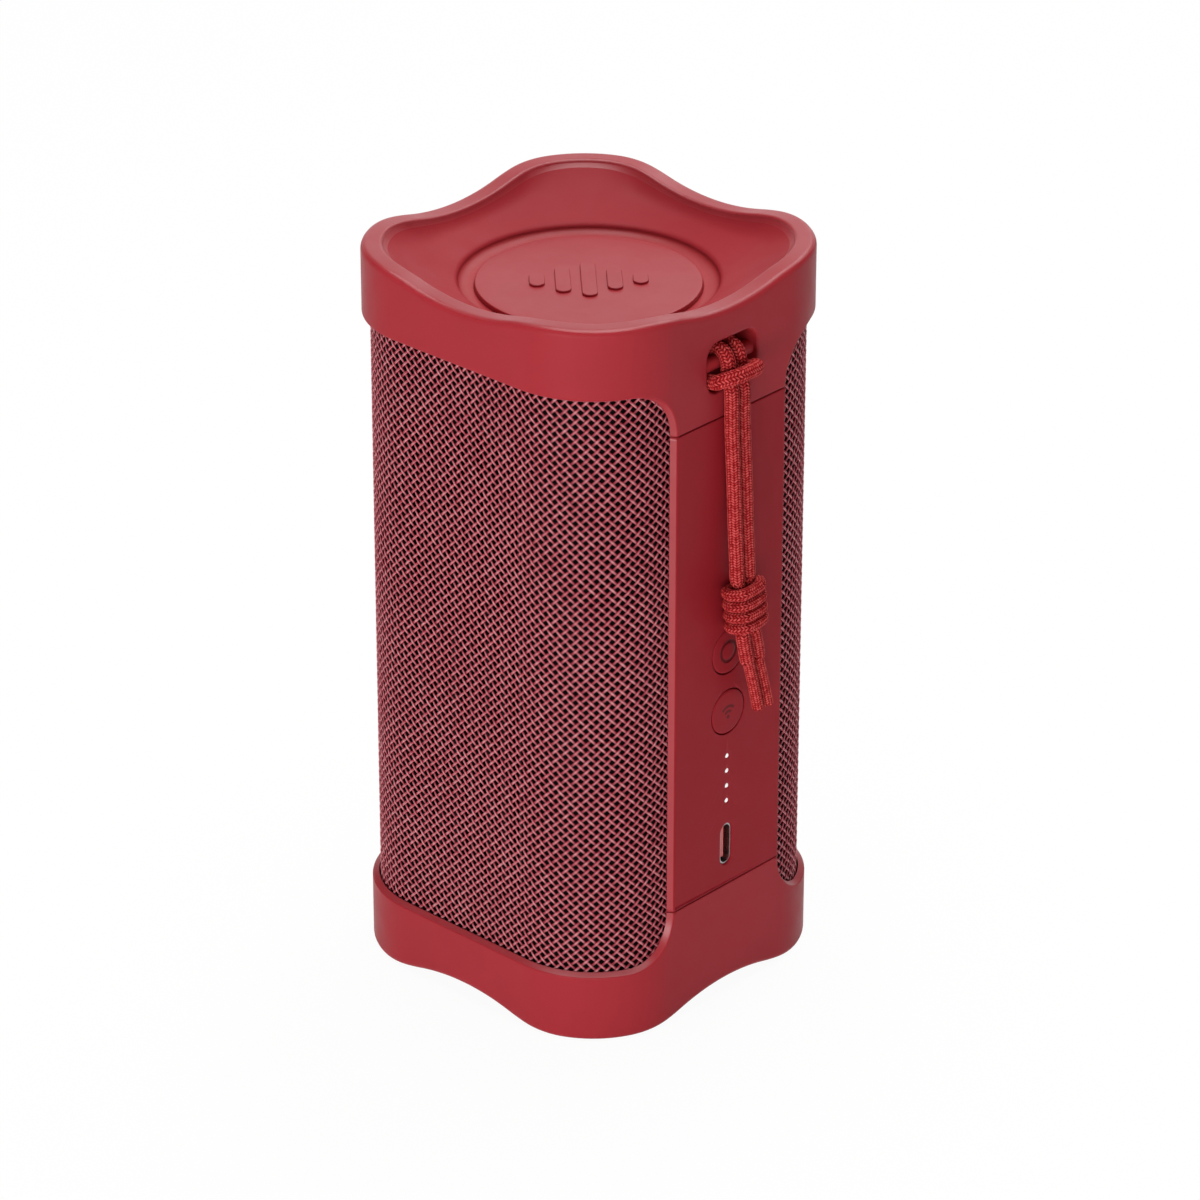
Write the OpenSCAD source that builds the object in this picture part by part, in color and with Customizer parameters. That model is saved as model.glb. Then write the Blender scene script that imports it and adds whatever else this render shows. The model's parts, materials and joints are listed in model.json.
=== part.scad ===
// Portable party speaker: an upright square column with rounded corners.
// Two soft caps with wavy rims hold a front and a rear woven grille and two flat side panels.
// Inside are a sealed cabinet, two drivers back to back, a battery and the boards.
// A passive radiator works in a bowl at each end, and a cord hangs from a bar in the top cap.
// Origin: centre of the footprint, on the surface that the feet stand on.
// Axes: +Z up, -Y the front grille, +X the control panel.

/* [Body] */
// Width across the flat sides
body_w = 74; // [73:0.5:84]
// Height from the feet to the crests of the rim
body_h = 153; // [145:1:187]
// Radius of the four upright corners
corner_r = 20.7; // [18.5:0.1:21.5]
// Depth of the dip in a rim between two corners
wave_depth = 3.05; // [1:0.05:4]
// Half the length of a dip along a side
wave_half = 24.7; // [22:0.1:26]

/* [Caps] */
// Width of the rim, from the outer skin to the bowl
rim_w = 4.4; // [3.5:0.1:6]
// Radius of the round lip at the bottom of the bowl
lip_r = 25.7; // [24:0.1:26.2]
// Depth of the lip below the crests of the rim
lip_drop = 7.7; // [7:0.1:8.6]
// Thickness of the cap at the lip
lip_t = 2.1; // [1.6:0.1:2.6]
// Radius of the sphere that shapes the bowl
bowl_r = 75; // [65:1:95]
// Thickness of the skirt that covers the grille's edge
skirt_t = 1.3; // [1.2:0.1:2]
// Distance from the top crests to the upper edge of the grille window
window_top_inset = 14.1; // [13.4:0.1:14.5]
// Distance from the feet to the lower edge of the grille window
window_bottom_inset = 14.3; // [13.4:0.1:14.5]
// Radius of the window's corners
window_r = 10.4; // [6:0.1:10.4]
// Distance from the top crests to the seam above a side panel
seam_top_inset = 25; // [24.9:0.1:28]
// Distance from the feet to the seam below a side panel
seam_bottom_inset = 25; // [24.9:0.1:25.5]

/* [Side panels] */
// Width of a panel's flat outer face
panel_w = 30.8; // [28.4:0.1:31.4]
// Width of the sloped edge beside a panel
panel_bevel = 0.7; // [0.4:0.1:1.2]
// Width of the thick middle of a panel
core_w = 28; // [26:0.5:28]

/* [Grilles] */
// Thickness of the woven skin
mesh_t = 0.8; // [0.5:0.1:1.2]
// Thickness of the slotted plate behind the woven skin
grille_t = 1.6; // [1.2:0.1:2]
// Width of a sound slot
slot_w = 2.4; // [1.5:0.1:3]
// Distance between sound slots
slot_pitch = 4.4; // [4:0.1:6]
// Height of the sound slots
slot_h = 96; // [60:1:104]

/* [Cabinet] */
// Wall of the sealed cabinet
cabinet_wall = 2.4; // [1.8:0.1:3]
// Thickness of the end plates that carry the radiators
end_plate_t = 3; // [2.6:0.1:4]

/* [Radiators] */
// Width of the rubber surround between the disc and the lip
surround_w = 3.7; // [3.4:0.1:4.4]
// Depth of the disc's face below the crests of the rim
disc_drop = 8.75; // [8.4:0.05:9.2]
// Thickness of the disc
disc_t = 3.2; // [2.6:0.1:3.6]
// Diameter of the steel weight behind the disc
weight_d = 30; // [20:1:36]
// Thickness of the weight
weight_t = 2.4; // [1:0.1:3]
// Travel of the disc each way from rest
radiator_travel = 2.5; // [1:0.1:3]
// Height of the raised bars on the upper disc
emblem_t = 0.5; // [0.3:0.1:0.8]

/* [Drivers] */
// Distance from the top crests down to the drivers' axis
driver_drop = 50; // [46:0.5:56]
// Diameter of a driver's flange
driver_d = 47; // [46.5:0.1:49]
// Diameter of the cone, without its surround
cone_d = 31; // [28:0.5:32]
// Diameter of the voice coil's former
coil_d = 15.8; // [14:0.2:17]
// Diameter of the magnet
magnet_d = 32; // [28:0.5:34]
// Thickness of the magnet
magnet_t = 6; // [4:0.5:7]
// Depth of the basket from its flange to its back plate
basket_depth = 9; // [8:0.5:10]
// Travel of the cone each way from rest
cone_travel = 2; // [0.5:0.1:2]

/* [Power] */
// Diameter of a battery cell
cell_d = 18.4; // [17:0.1:19]
// Length of a battery cell
cell_l = 50; // [45:0.5:60]

/* [Controls] */
// Diameter of a button
button_d = 9.4; // [8:0.1:10.2]
// Travel of a button
button_travel = 0.6; // [0.3:0.1:0.8]
// Height of the power button above the feet
power_z = 77; // [76:0.1:80]
// Height of the pairing button above the feet
pairing_z = 63.75; // [62:0.05:65]
// Distance between the three buttons on the opposite panel
key_pitch = 14; // [13.5:0.1:15]
// Diameter of a charge light
light_d = 1.2; // [0.8:0.1:1.6]
// Distance between the charge lights
light_pitch = 3.32; // [3:0.02:3.6]
// Height of the lowest charge light above the feet
light_z = 43.9; // [43:0.05:45]
// Height of the charging socket's centre above the feet
usb_z = 34.15; // [33.6:0.05:34.6]
// Width of the charging socket's shell, upright
usb_w = 8.94; // [8.34:0.02:9.4]
// Thickness of the charging socket's shell
usb_h = 3.26; // [3:0.02:3.6]
// Thickness of a circuit board
board_t = 1.6; // [1:0.1:1.6]

/* [Cord] */
// Diameter of the cord
cord_d = 3; // [2.6:0.1:3.1]
// Diameter of the bar that the cord is looped on
bar_d = 2.8; // [2:0.1:2.9]
// Depth of the bar's centre behind the panel's face
bar_depth = 2.3; // [1.9:0.1:2.4]
// Distance from the top crests down to the bar's centre
bar_inset = 14.3; // [14.1:0.1:15]
// Width of the recess around the bar
recess_w = 14; // [14:0.1:17]
// Height of the recess around the bar
recess_h = 10.3; // [10.2:0.1:11]
// Radius of the recess's corners
recess_r = 3; // [1.5:0.1:3.5]
// Number of turns in the wrapped knot
knot_turns = 4; // [3:1:5]

/* [Hidden] */
$fn = 96;
// Clearance between fixed pieces
fit = 0.1;
// Clearance beside pieces that move
run = 0.3;
// How far a cutting shape runs past what it cuts
over = 1;
// A small overlap that keeps a tangent cut from ending in a zero-width edge
graze = 0.05;

half = body_w / 2;
corner_c = half - corner_r;
mesh_in = skirt_t + fit;
grille_in = mesh_in + mesh_t + fit;
cabinet_in = grille_in + grille_t + fit;
cabinet_half = half - cabinet_in;
wall_in = cabinet_in - fit;
inside_in = cabinet_in + cabinet_wall;
core_half = core_w / 2;

// Levels below the crests of a rim, the same at both ends
flange_t = 1.2;
ring_h = 1;
flange_top = lip_drop + lip_t;
flange_bottom = flange_top + flange_t;
seat = flange_bottom + ring_h;
cabinet_end = seat + end_plate_t;
disc_back = disc_drop + disc_t;
weight_back = disc_back + weight_t;

// Radii of a radiator
disc_r = lip_r - surround_w;
lip_taper = 0.8;
hole_r = lip_r - lip_taper;
ring_out = 2.5;
ring_r = lip_r + ring_out;
ring_in = 0.7;
ring_bore = lip_r - ring_in;
// The surround dips from a collar inside the lip to the foot of the disc
roll_t = 0.6;
roll_gap = 0.1;
roll_steps = 12;
collar_t = 0.5;
collar_r = hole_r - roll_gap - collar_t;
roll_w = collar_r - disc_r - roll_gap;
roll_under_lip = 0.7;
disc_side = 1;
roll_top = lip_drop + roll_under_lip;
roll_foot = disc_drop + disc_side;

// Screws and their bosses
end_screw_r = 1.2;
end_head_r = 2.1;
end_head_h = 1.6;
end_screw_l = 9;
boss_r = 3;
boss_floor = 2;
boss_in = 2;
boss_out = corner_c + (corner_r - inside_in - boss_in) * cos(45);
driver_screw_r = 0.8;
driver_head_r = 1.4;
driver_head_h = 1;
driver_screw_l = 3.6;
board_screw_r = 0.9;
board_head_r = 1.6;
board_head_h = 1;
board_screw_grip = 1.2;

// A driver's levels behind the front of its flange
driver_r = driver_d / 2;
driver_flange_t = 1.6;
basket_t = 1.2;
plate_top = basket_depth + basket_t;
top_plate_t = 2.4;
magnet_top = plate_top + top_plate_t;
yoke_top = magnet_top + magnet_t;
yoke_t = 2.4;
driver_back = yoke_top + yoke_t;
magnet_r = magnet_d / 2;
cone_r = cone_d / 2;
coil_r = coil_d / 2;
former_t = 0.3;
winding_t = 0.4;
coil_gap = 0.4;
cone_neck = 6.6;
cone_t = 0.6;
cone_lip = 1;
cone_lip_t = 0.4;
cone_lip_w = 0.9;
cone_slope = (cone_neck - cone_lip) / (cone_r - coil_r - fit);
well_wall = 2;
well_seat = 2.5;
driver_roll_r = 1.5;
driver_roll_t = 0.5;
driver_clear = 0.7;
driver_recess = driver_roll_r + cone_travel + driver_clear;
driver_roll_c = cone_r + cone_lip_w + driver_roll_r - 0.3;
basket_mouth = driver_roll_c + driver_roll_r - driver_roll_t;
well_bore = basket_mouth + 1.6;
ledge_r = magnet_r - 3;
ledge_t = 1;
screw_ring = (basket_mouth + driver_r) / 2 + 0.5;

// Battery, from the bridge upwards
bridge_z = weight_back + radiator_travel + over;
bridge_t = 2;
bridge_margin = 2.3;
bridge_w = cell_d + 2 * bridge_margin;
holder_floor = 1.6;
holder_h = 30;
holder_wall = 1.2;
cell_gap = 1;
cell_x = (cell_d + cell_gap) / 2;
cell_z = bridge_z + bridge_t + holder_floor;
nub_h = 0.8;
nub_r = 3;
battery_board_z = cell_z + cell_l + nub_h;
battery_board_t = 1.2;
battery_board_margin = 4;
driver_z = body_h - driver_drop;

// Buttons and boards, as depths behind a panel's face
button_gap = 0.2;
button_flange = 1;
button_flange_r = button_d / 2 + 1;
button_back = wall_in + run + button_flange;
plunger_tip = button_back + button_travel + graze;
plunger_r = 1.5;
switch_w = 6;
switch_top = plunger_tip + 0.8;
board_front = switch_top + 2.1;
board_back = board_front + board_t;
standoff = 0.8;
standoff_r = 2.2;
pocket_in = board_back + standoff;
pocket_wall = 2;
pocket_w = 30;
board_gap = 1;
board_w = pocket_w - 2 * board_gap;
pocket_under = 3;
pocket_above = 14.9;
pocket_z0 = usb_z - usb_w / 2 - pocket_under;
pocket_z1 = power_z + pocket_above;
board_margin = 1.2;
board_z0 = pocket_z0 + board_margin;
board_z1 = pocket_z1 - board_margin;
key_z = power_z;
key_margin = 12;
key_pocket_h = 2 * (key_pitch + key_margin);
key_board_h = key_pocket_h - 2 * board_margin;
key_z0 = key_z - key_pocket_h / 2;
key_z1 = key_z + key_pocket_h / 2;
key_board_z0 = key_z - key_board_h / 2;
key_board_z1 = key_z + key_board_h / 2;
board_screw_in = 3;
radio_w = 10;
radio_h = 5;
radio_t = 2;
radio_inset = 4.5;
radio_aside = 1;
chip_aside = 8.5;
amplifier_w = 7;
amplifier_t = 1.2;
choke_r = 3;
choke_pitch = 8;
choke_drop = 6;
light_bar_t = 1.2;
light_bar_w = 3;
usb_wall = 0.3;
usb_mouth = 0.4;
tongue_w = 6.7;
tongue_h = 0.7;
tongue_in = 1.2;

// The bar and its recess
bar_z = body_h - bar_inset;
bar_r = bar_d / 2;
bar_x = half - bar_depth;
bar_grip = 2.5;
bar_l = recess_w + 2 * bar_grip;
cord_r = cord_d / 2;
cord_gap = 0.1;
recess_in = bar_depth + bar_r + cord_d + 3 * cord_gap;
recess_wall = 2.2;

// The cord. Its loop goes round the bar by formula, and each side then hangs down.
// Points of a side are [out from the panel's face, along +Y, down from the bar's centre].
loop_r = bar_r + cord_r + cord_gap;
strand_half = cord_r + 0.1;
loop_steps = 14;
loop_apart = 0.42;
loop_end = 4.75;
bight = [[0.6, 4.8, 0.4], [2, 4.6, 1.2], [3.4, 3.4, 1.8], [4.1, 1.7, 2.1]];
hang = [
    [0.7, -0.4, 0.5], [0.7, -0.4, 1.3], [1.05, -0.4, 3.3], [1.65, -0.4, 5.4], [1.7, -0.35, 10], [1.75, -0.25, 14],
    [1.95, -0.15, 19], [2.35, -0.15, 26], [2.85, -0.35, 33], [3.3, -0.42, 39], [3.65, -0.45, 44.2], [3.8, -0.5, 45.3],
    [3.8, 0.1, 50], [3.8, 0.85, 55.5], [3.8, 1.3, 57], [3.87, 2.42, 62.2], [3.9, 2.65, 63.2], [4.05, 4.2, 69],
    [4.25, 5.35, 74.1]
];
knot_first = 11;
knot_at = 12;
knot_last = 13;
// The ends of the two tails are thinner, from this point on
tail_from = 16;
tail_r = cord_r - 0.3;
tail_half = tail_r + 0.2;
// The wrapped knot winds round both sides of the cord, squeezes them and leans with them
squeezed_r = cord_r - 0.35;
squeezed_half = squeezed_r + 0.05;
knot_r = cord_r - 0.3;
knot_turn_r = squeezed_r + knot_r + 0.08;
knot_pitch = 2 * knot_r + 0.1;
knot_from = 112;
knot_past = 10;
knot_lean = (hang[knot_last][1] - hang[knot_first][1]) / (hang[knot_last][2] - hang[knot_first][2]);
knot_x = half + hang[knot_at][0];
knot_y = hang[knot_at][1];
knot_z = bar_z - hang[knot_at][2];
knot_steps = 24;
knot_sides = 6;
cord_sides = 8;

red = [0.64, 0.16, 0.19];
dark_red = [0.5, 0.11, 0.14];
cord_red = [0.72, 0.16, 0.17];
black = [0.06, 0.06, 0.07];
steel = [0.7, 0.7, 0.72];
rubber_black = [0.1, 0.1, 0.11];
board_green = [0.08, 0.3, 0.18];
white = [0.95, 0.95, 0.95];
gold = [0.8, 0.62, 0.25];
cell_blue = [0.2, 0.35, 0.6];

// Shared shapes

// Rounded square, inset from the outer skin
module outline(inset) {
    h = half - inset;
    r = corner_r - inset;
    square([2 * h, 2 * (h - r)], center = true);
    square([2 * (h - r), 2 * h], center = true);
    for (x = [-1, 1], y = [-1, 1])
        translate([x * (h - r), y * (h - r)]) circle(r);
}

module column(inset, z0, z1) {
    translate([0, 0, z0]) linear_extrude(z1 - z0) outline(inset);
}

// Outline drawn in Y and Z, extruded along X from x0 to x1
module along_x(x0, x1) {
    translate([x0, 0, 0]) rotate([90, 0, 90]) linear_extrude(x1 - x0) children();
}

module disc_x(r, x0, x1, y, z) {
    translate([x0, y, z]) rotate([0, 90, 0]) cylinder(h = x1 - x0, r = r);
}

module box(x0, x1, y0, y1, z0, z1) {
    translate([x0, y0, z0]) cube([x1 - x0, y1 - y0, z1 - z0]);
}

module rounded_slot(w, h, r) {
    square([w - 2 * r, h], center = true);
    square([w, h - 2 * r], center = true);
    for (x = [-1, 1], y = [-1, 1])
        translate([x * (w / 2 - r), y * (h / 2 - r)]) circle(r);
}

module upright_slot(w, h) {
    square([w, h - w], center = true);
    for (y = [-1, 1]) translate([0, y * (h - w) / 2]) circle(w / 2);
}

// An end of the body is drawn with the crests of its rim at z = 0 and the body below it
module at_top() {
    translate([0, 0, body_h]) children();
}

module at_bottom() {
    mirror([0, 0, 1]) children();
}

// A driver is drawn with its flange's front at z = 0, facing +Z
module at_front() {
    translate([0, -(cabinet_half - driver_recess), driver_z]) rotate([90, 0, 0]) children();
}

module at_rear() {
    translate([0, cabinet_half - driver_recess, driver_z]) rotate([-90, 0, 0]) children();
}

// A panel is drawn on the +X side
module on_volume_side() {
    rotate([0, 0, 180]) children();
}

module ring(r0, r1, z0, z1) {
    translate([0, 0, z0]) difference() {
        cylinder(h = z1 - z0, r = r1);
        translate([0, 0, -over]) cylinder(h = z1 - z0 + 2 * over, r = r0);
    }
}

// Caps

// What is cut away between two crests, drawn with the crests at y = 0
module wave_shape() {
    rise = wave_depth + graze;
    r = (wave_half * wave_half + rise * rise) / (4 * rise);
    mid = graze - rise / 2;
    difference() {
        translate([-wave_half, mid]) square([2 * wave_half, rise]);
        for (s = [-1, 1]) translate([s * wave_half, graze - r]) circle(r, $fn = 256);
    }
    intersection() {
        translate([0, r - wave_depth]) circle(r, $fn = 256);
        translate([-wave_half / 2, -wave_depth - graze]) square([wave_half, mid + wave_depth + graze]);
    }
}

module wave_cut() {
    for (a = [0, 90])
        rotate([0, 0, a]) along_x(-half - over, half + over) wave_shape();
}

// The bowl is part of a sphere inside the rim, down to the round lip
module bowl_cut() {
    centre = sqrt(bowl_r * bowl_r - lip_r * lip_r) - lip_drop;
    slope = (lip_r - hole_r) / lip_t;
    past = over / 2;
    intersection() {
        column(rim_w, -lip_drop - past, over);
        translate([0, 0, centre]) sphere(bowl_r, $fn = 256);
    }
    translate([0, 0, -flange_top - over])
        cylinder(h = lip_t + over + past, r1 = hole_r - slope * over, r2 = lip_r + slope * past);
    translate([0, 0, -seat - over]) cylinder(h = seat - flange_top + over, r = ring_r + fit);
}

// The cap's tab beside the windows, drawn in Y and Z
module tab_shape(window_inset, seam_inset) {
    w = panel_w / 2;
    bottom = -seam_inset;
    difference() {
        translate([-w - window_r, bottom]) square([2 * (w + window_r), seam_inset - window_inset + over]);
        for (s = [-1, 1]) {
            translate([s * (w + window_r), -window_inset - window_r + graze]) circle(window_r);
            translate([s * (w + window_r) - window_r, bottom - over])
                square([2 * window_r, seam_inset - window_inset - window_r + over + graze]);
        }
    }
}

module cap(window_inset, seam_inset) {
    difference() {
        intersection() {
            column(0, -seam_inset + fit, 0);
            union() {
                box(-half - over, half + over, -half - over, half + over, -window_inset, over);
                along_x(-half - over, half + over) tab_shape(window_inset, seam_inset);
            }
        }
        difference() {
            column(skirt_t, -seam_inset - over, -seat);
            for (s = [0, 180]) rotate([0, 0, s])
                box(half - wall_in, half + over, -core_half, core_half, -seam_inset - 2 * over, -seat + over);
        }
        wave_cut();
        bowl_cut();
    }
}

module bar_recess() {
    translate([0, 0, bar_z]) along_x(half - recess_in, half + over)
        rounded_slot(recess_w, recess_h, recess_r);
}

module top_cap() {
    color(red) difference() {
        at_top() cap(window_top_inset, seam_top_inset);
        bar_recess();
        translate([bar_x, -bar_l / 2 - fit, bar_z]) rotate([-90, 0, 0])
            cylinder(h = bar_l + 2 * fit, r = bar_r + fit);
    }
}

module bottom_cap() {
    color(red) at_bottom() cap(window_bottom_inset, seam_bottom_inset);
}

// Side panels

module panel_blank() {
    z0 = seam_bottom_inset + fit;
    z1 = body_h - seam_top_inset - fit;
    face = panel_w / 2;
    translate([0, 0, z0]) linear_extrude(z1 - z0) polygon([
        [half, -face], [half, face], [half - skirt_t, face + panel_bevel],
        [half - skirt_t, core_half], [half - wall_in, core_half],
        [half - wall_in, -core_half], [half - skirt_t, -core_half], [half - skirt_t, -face - panel_bevel]
    ]);
}

module button_hole(z) {
    disc_x(button_d / 2 + button_gap, half - wall_in - over, half + over, 0, z);
}

function light_places() = [for (i = [0:3]) light_z + i * light_pitch];
function key_places() = [key_z + key_pitch, key_z, key_z - key_pitch];

module control_panel() {
    color(dark_red) difference() {
        panel_blank();
        for (z = [power_z, pairing_z]) button_hole(z);
        for (z = light_places()) disc_x(light_d / 2 + fit, half - wall_in - over, half + over, 0, z);
        translate([0, 0, usb_z]) along_x(half - wall_in - over, half + over)
            upright_slot(usb_h + 2 * fit, usb_w + 2 * fit);
    }
}

module volume_panel() {
    color(dark_red) on_volume_side() difference() {
        panel_blank();
        for (z = key_places()) button_hole(z);
    }
}

module button(z) {
    disc_x(button_d / 2, half - button_back + button_flange / 2, half, 0, z);
    disc_x(button_flange_r, half - button_back, half - button_back + button_flange, 0, z);
}

module power_button() { color(dark_red) button(power_z); }
module pairing_button() { color(dark_red) button(pairing_z); }
module volume_up_button() { color(dark_red) on_volume_side() button(key_places()[0]); }
module play_button() { color(dark_red) on_volume_side() button(key_places()[1]); }
module volume_down_button() { color(dark_red) on_volume_side() button(key_places()[2]); }

// Grilles

// The front half of a layer between two depths, tucked under the caps and the panels
module half_shell(outer, inner) {
    intersection() {
        difference() {
            column(outer, seat + fit, body_h - seat - fit);
            column(inner, seat, body_h - seat);
        }
        box(-half, half, -half, -core_half - fit, 0, body_h);
    }
}

module grille() {
    flat = 2 * corner_c - slot_w;
    count = 2 * floor(flat / slot_pitch / 2) + 1;
    difference() {
        half_shell(grille_in, grille_in + grille_t);
        for (i = [0:count - 1])
            translate([(i - (count - 1) / 2) * slot_pitch, -half, body_h / 2]) rotate([90, 0, 0])
                translate([0, 0, -cabinet_in]) linear_extrude(cabinet_in + over)
                    upright_slot(slot_w, slot_h);
    }
}

module front_grille() { color(black) grille(); }
module rear_grille() { color(black) on_volume_side() grille(); }
module front_mesh() { color(red) half_shell(mesh_in, mesh_in + mesh_t); }
module rear_mesh() { color(red) on_volume_side() half_shell(mesh_in, mesh_in + mesh_t); }

// Cabinet

module well(r, depth) {
    translate([0, 0, driver_recess]) mirror([0, 0, 1]) cylinder(h = depth, r = r);
}

module each_driver() {
    at_front() children();
    at_rear() children();
}

module at_bosses() {
    for (x = [-1, 1], y = [-1, 1]) translate([x * boss_out, y * boss_out, 0]) children();
}

module pocket(grow, z0, z1) {
    box(half - pocket_in - grow, cabinet_half + (grow > 0 ? 0 : over),
        -pocket_w / 2 - grow, pocket_w / 2 + grow, z0 - grow, z1 + grow);
}

module bar_pocket(grow) {
    w = recess_w / 2 + run + grow;
    box(half - recess_in - fit - grow, cabinet_half + (grow > 0 ? 0 : over), -w, w,
        bar_z - recess_h / 2 - run - grow, body_h - cabinet_end + (grow > 0 ? 0 : over));
}

// Pilot holes for a board's four screws, or the bosses around them
module board_corners(z0, z1) {
    for (y = [-1, 1], z = [z0 + board_screw_in, z1 - board_screw_in])
        translate([0, y * (board_w / 2 - board_screw_in), z]) children();
}

module standoffs(z0, z1, r, from, to) {
    board_corners(z0, z1) disc_x(r, half - from, half - to, 0, 0);
}

module cabinet_block() {
    z0 = cabinet_end;
    z1 = body_h - cabinet_end;
    boss_h = end_screw_l + boss_floor;
    difference() {
        column(cabinet_in, z0, z1);
        column(inside_in, z0 - over, z1 + over);
    }
    intersection() {
        column(cabinet_in + graze, z0, z1);
        union() {
            each_driver() well(driver_r + fit + well_wall, driver_recess + driver_flange_t + well_seat);
            pocket(pocket_wall, pocket_z0, pocket_z1);
            on_volume_side() pocket(pocket_wall, key_z0, key_z1);
            bar_pocket(recess_wall);
            box(-half, half, -bridge_w / 2, bridge_w / 2, bridge_z, bridge_z + bridge_t);
            translate([0, 0, z0]) at_bosses() cylinder(h = boss_h, r = boss_r);
            translate([0, 0, z1 - boss_h]) at_bosses() cylinder(h = boss_h, r = boss_r);
        }
    }
}

module cabinet_openings() {
    each_driver() {
        well(driver_r + fit, driver_recess + driver_flange_t);
        well(well_bore, driver_recess + driver_flange_t + well_seat + over);
    }
    pocket(0, pocket_z0, pocket_z1);
    on_volume_side() pocket(0, key_z0, key_z1);
    bar_pocket(0);
}

module end_screw_pilots() {
    depth = end_screw_l - end_plate_t;
    translate([0, 0, -cabinet_end - depth - over]) at_bosses()
        cylinder(h = depth + 2 * over, r = end_screw_r + graze);
}

module board_pilots(z0, z1) {
    standoffs(z0, z1, board_screw_r + graze, pocket_in + board_screw_grip + graze, board_back - over);
}

module cabinet() {
    color(black) difference() {
        union() {
            difference() {
                cabinet_block();
                cabinet_openings();
            }
            standoffs(board_z0, board_z1, standoff_r, pocket_in + graze, board_back);
            on_volume_side() standoffs(key_board_z0, key_board_z1, standoff_r, pocket_in + graze, board_back);
        }
        at_top() end_screw_pilots();
        at_bottom() end_screw_pilots();
        each_driver() translate([0, 0, -driver_flange_t - well_seat - over]) driver_screw_places()
            cylinder(h = well_seat + 2 * over, r = driver_screw_r + graze);
        board_pilots(board_z0, board_z1);
        on_volume_side() board_pilots(key_board_z0, key_board_z1);
    }
}

// End plates

module end_plate() {
    difference() {
        union() {
            column(cabinet_in, -cabinet_end, -seat);
            translate([0, 0, -seat - graze]) cylinder(h = ring_h + graze, r = ring_r);
        }
        translate([0, 0, -cabinet_end - over]) cylinder(h = cabinet_end, r = ring_bore);
        translate([0, 0, -cabinet_end - over]) at_bosses() cylinder(h = end_plate_t + 2 * over, r = end_screw_r + fit);
        translate([0, 0, -seat - end_head_h - fit]) at_bosses() cylinder(h = end_head_h + over, r = end_head_r + fit);
    }
}

module top_end_plate() {
    w = recess_w / 2 + run;
    color(black) difference() {
        at_top() end_plate();
        box(half - recess_in - fit, half, -w, w, body_h - cabinet_end - over, body_h - seat + over);
    }
}

module bottom_end_plate() { color(black) at_bottom() end_plate(); }

module end_screw() {
    translate([0, 0, -seat - fit - end_head_h]) cylinder(h = end_head_h, r = end_head_r);
    translate([0, 0, -seat - fit - end_screw_l]) cylinder(h = end_screw_l, r = end_screw_r);
}

module end_plate_screws() {
    color(steel) {
        at_top() at_bosses() end_screw();
        at_bottom() at_bosses() end_screw();
    }
}

// Passive radiators

module radiator_surround() {
    upper = [for (i = [0:roll_steps])
        let (a = 90 * i / roll_steps)
        [disc_r + roll_gap + roll_w * sin(a), -roll_foot + (roll_foot - roll_top) * (1 - cos(a))]];
    lower = [for (p = reversed(upper)) p - [0, roll_t]];
    collar_out = collar_r + collar_t;
    flange_out = ring_r - fit;
    rotate_extrude() polygon(concat(
        upper,
        [[collar_out, -roll_top], [collar_out, -flange_top], [flange_out, -flange_top]],
        [[flange_out, -flange_bottom], [collar_r, -flange_bottom]],
        lower
    ));
}

module radiator_disc() {
    translate([0, 0, -disc_back]) cylinder(h = disc_t, r = disc_r);
}

module radiator_weight() {
    translate([0, 0, -weight_back]) cylinder(h = weight_t, r = weight_d / 2);
}

module top_surround() { color(dark_red) at_top() radiator_surround(); }
module top_disc() { color(red) at_top() radiator_disc(); }
module top_weight() { color(steel) at_top() radiator_weight(); }
module bottom_surround() { color(dark_red) at_bottom() radiator_surround(); }
module bottom_disc() { color(red) at_bottom() radiator_disc(); }
module bottom_weight() { color(steel) at_bottom() radiator_weight(); }

// Plain sound-level bars, raised on the upper disc
module top_emblem() {
    bars = [6, 12, 16, 10, 5];
    bar_w = 3;
    pitch = 5;
    color(red) at_top() rotate([0, 0, 45]) translate([0, 0, -disc_drop])
        for (i = [0:len(bars) - 1])
            translate([(i - (len(bars) - 1) / 2) * pitch, 0, 0])
                linear_extrude(emblem_t) upright_slot(bar_w, bars[i]);
}

// Drivers

module driver_screw_places() {
    for (a = [45:90:315]) rotate([0, 0, a]) translate([screw_ring, 0, 0]) children();
}

module basket() {
    foot = magnet_r - 1;
    throat = coil_r + winding_t + 2 * coil_gap;
    vent_r = 2;
    vent_z = -basket_depth / 2 - 0.6;
    difference() {
        rotate_extrude() polygon([
            [driver_r, 0], [driver_r, -driver_flange_t], [well_bore - run, -driver_flange_t],
            [foot, -basket_depth], [foot, -plate_top], [throat, -plate_top],
            [throat, -basket_depth], [ledge_r, -basket_depth],
            [ledge_r, -basket_depth + ledge_t], [ledge_r + ledge_t, -basket_depth + ledge_t],
            [basket_mouth, -driver_flange_t], [basket_mouth, 0]
        ]);
        for (a = [0:60:300]) rotate([0, 0, a])
            translate([ledge_r + ledge_t, 0, vent_z]) rotate([0, 90, 0]) cylinder(h = driver_r, r = vent_r);
        translate([0, 0, -driver_flange_t - over]) driver_screw_places()
            cylinder(h = driver_flange_t + 2 * over, r = driver_screw_r + fit);
    }
}

module driver_top_plate() {
    ring(coil_r + winding_t + coil_gap, magnet_r - 1, -magnet_top, -plate_top);
}

module driver_magnet() {
    ring(coil_r + 2, magnet_r, -yoke_top, -magnet_top);
}

module driver_yoke() {
    translate([0, 0, -driver_back]) cylinder(h = yoke_t, r = magnet_r - 0.5);
    translate([0, 0, -yoke_top - graze]) cylinder(h = yoke_top - plate_top + graze, r = coil_r - former_t - coil_gap);
}

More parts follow.
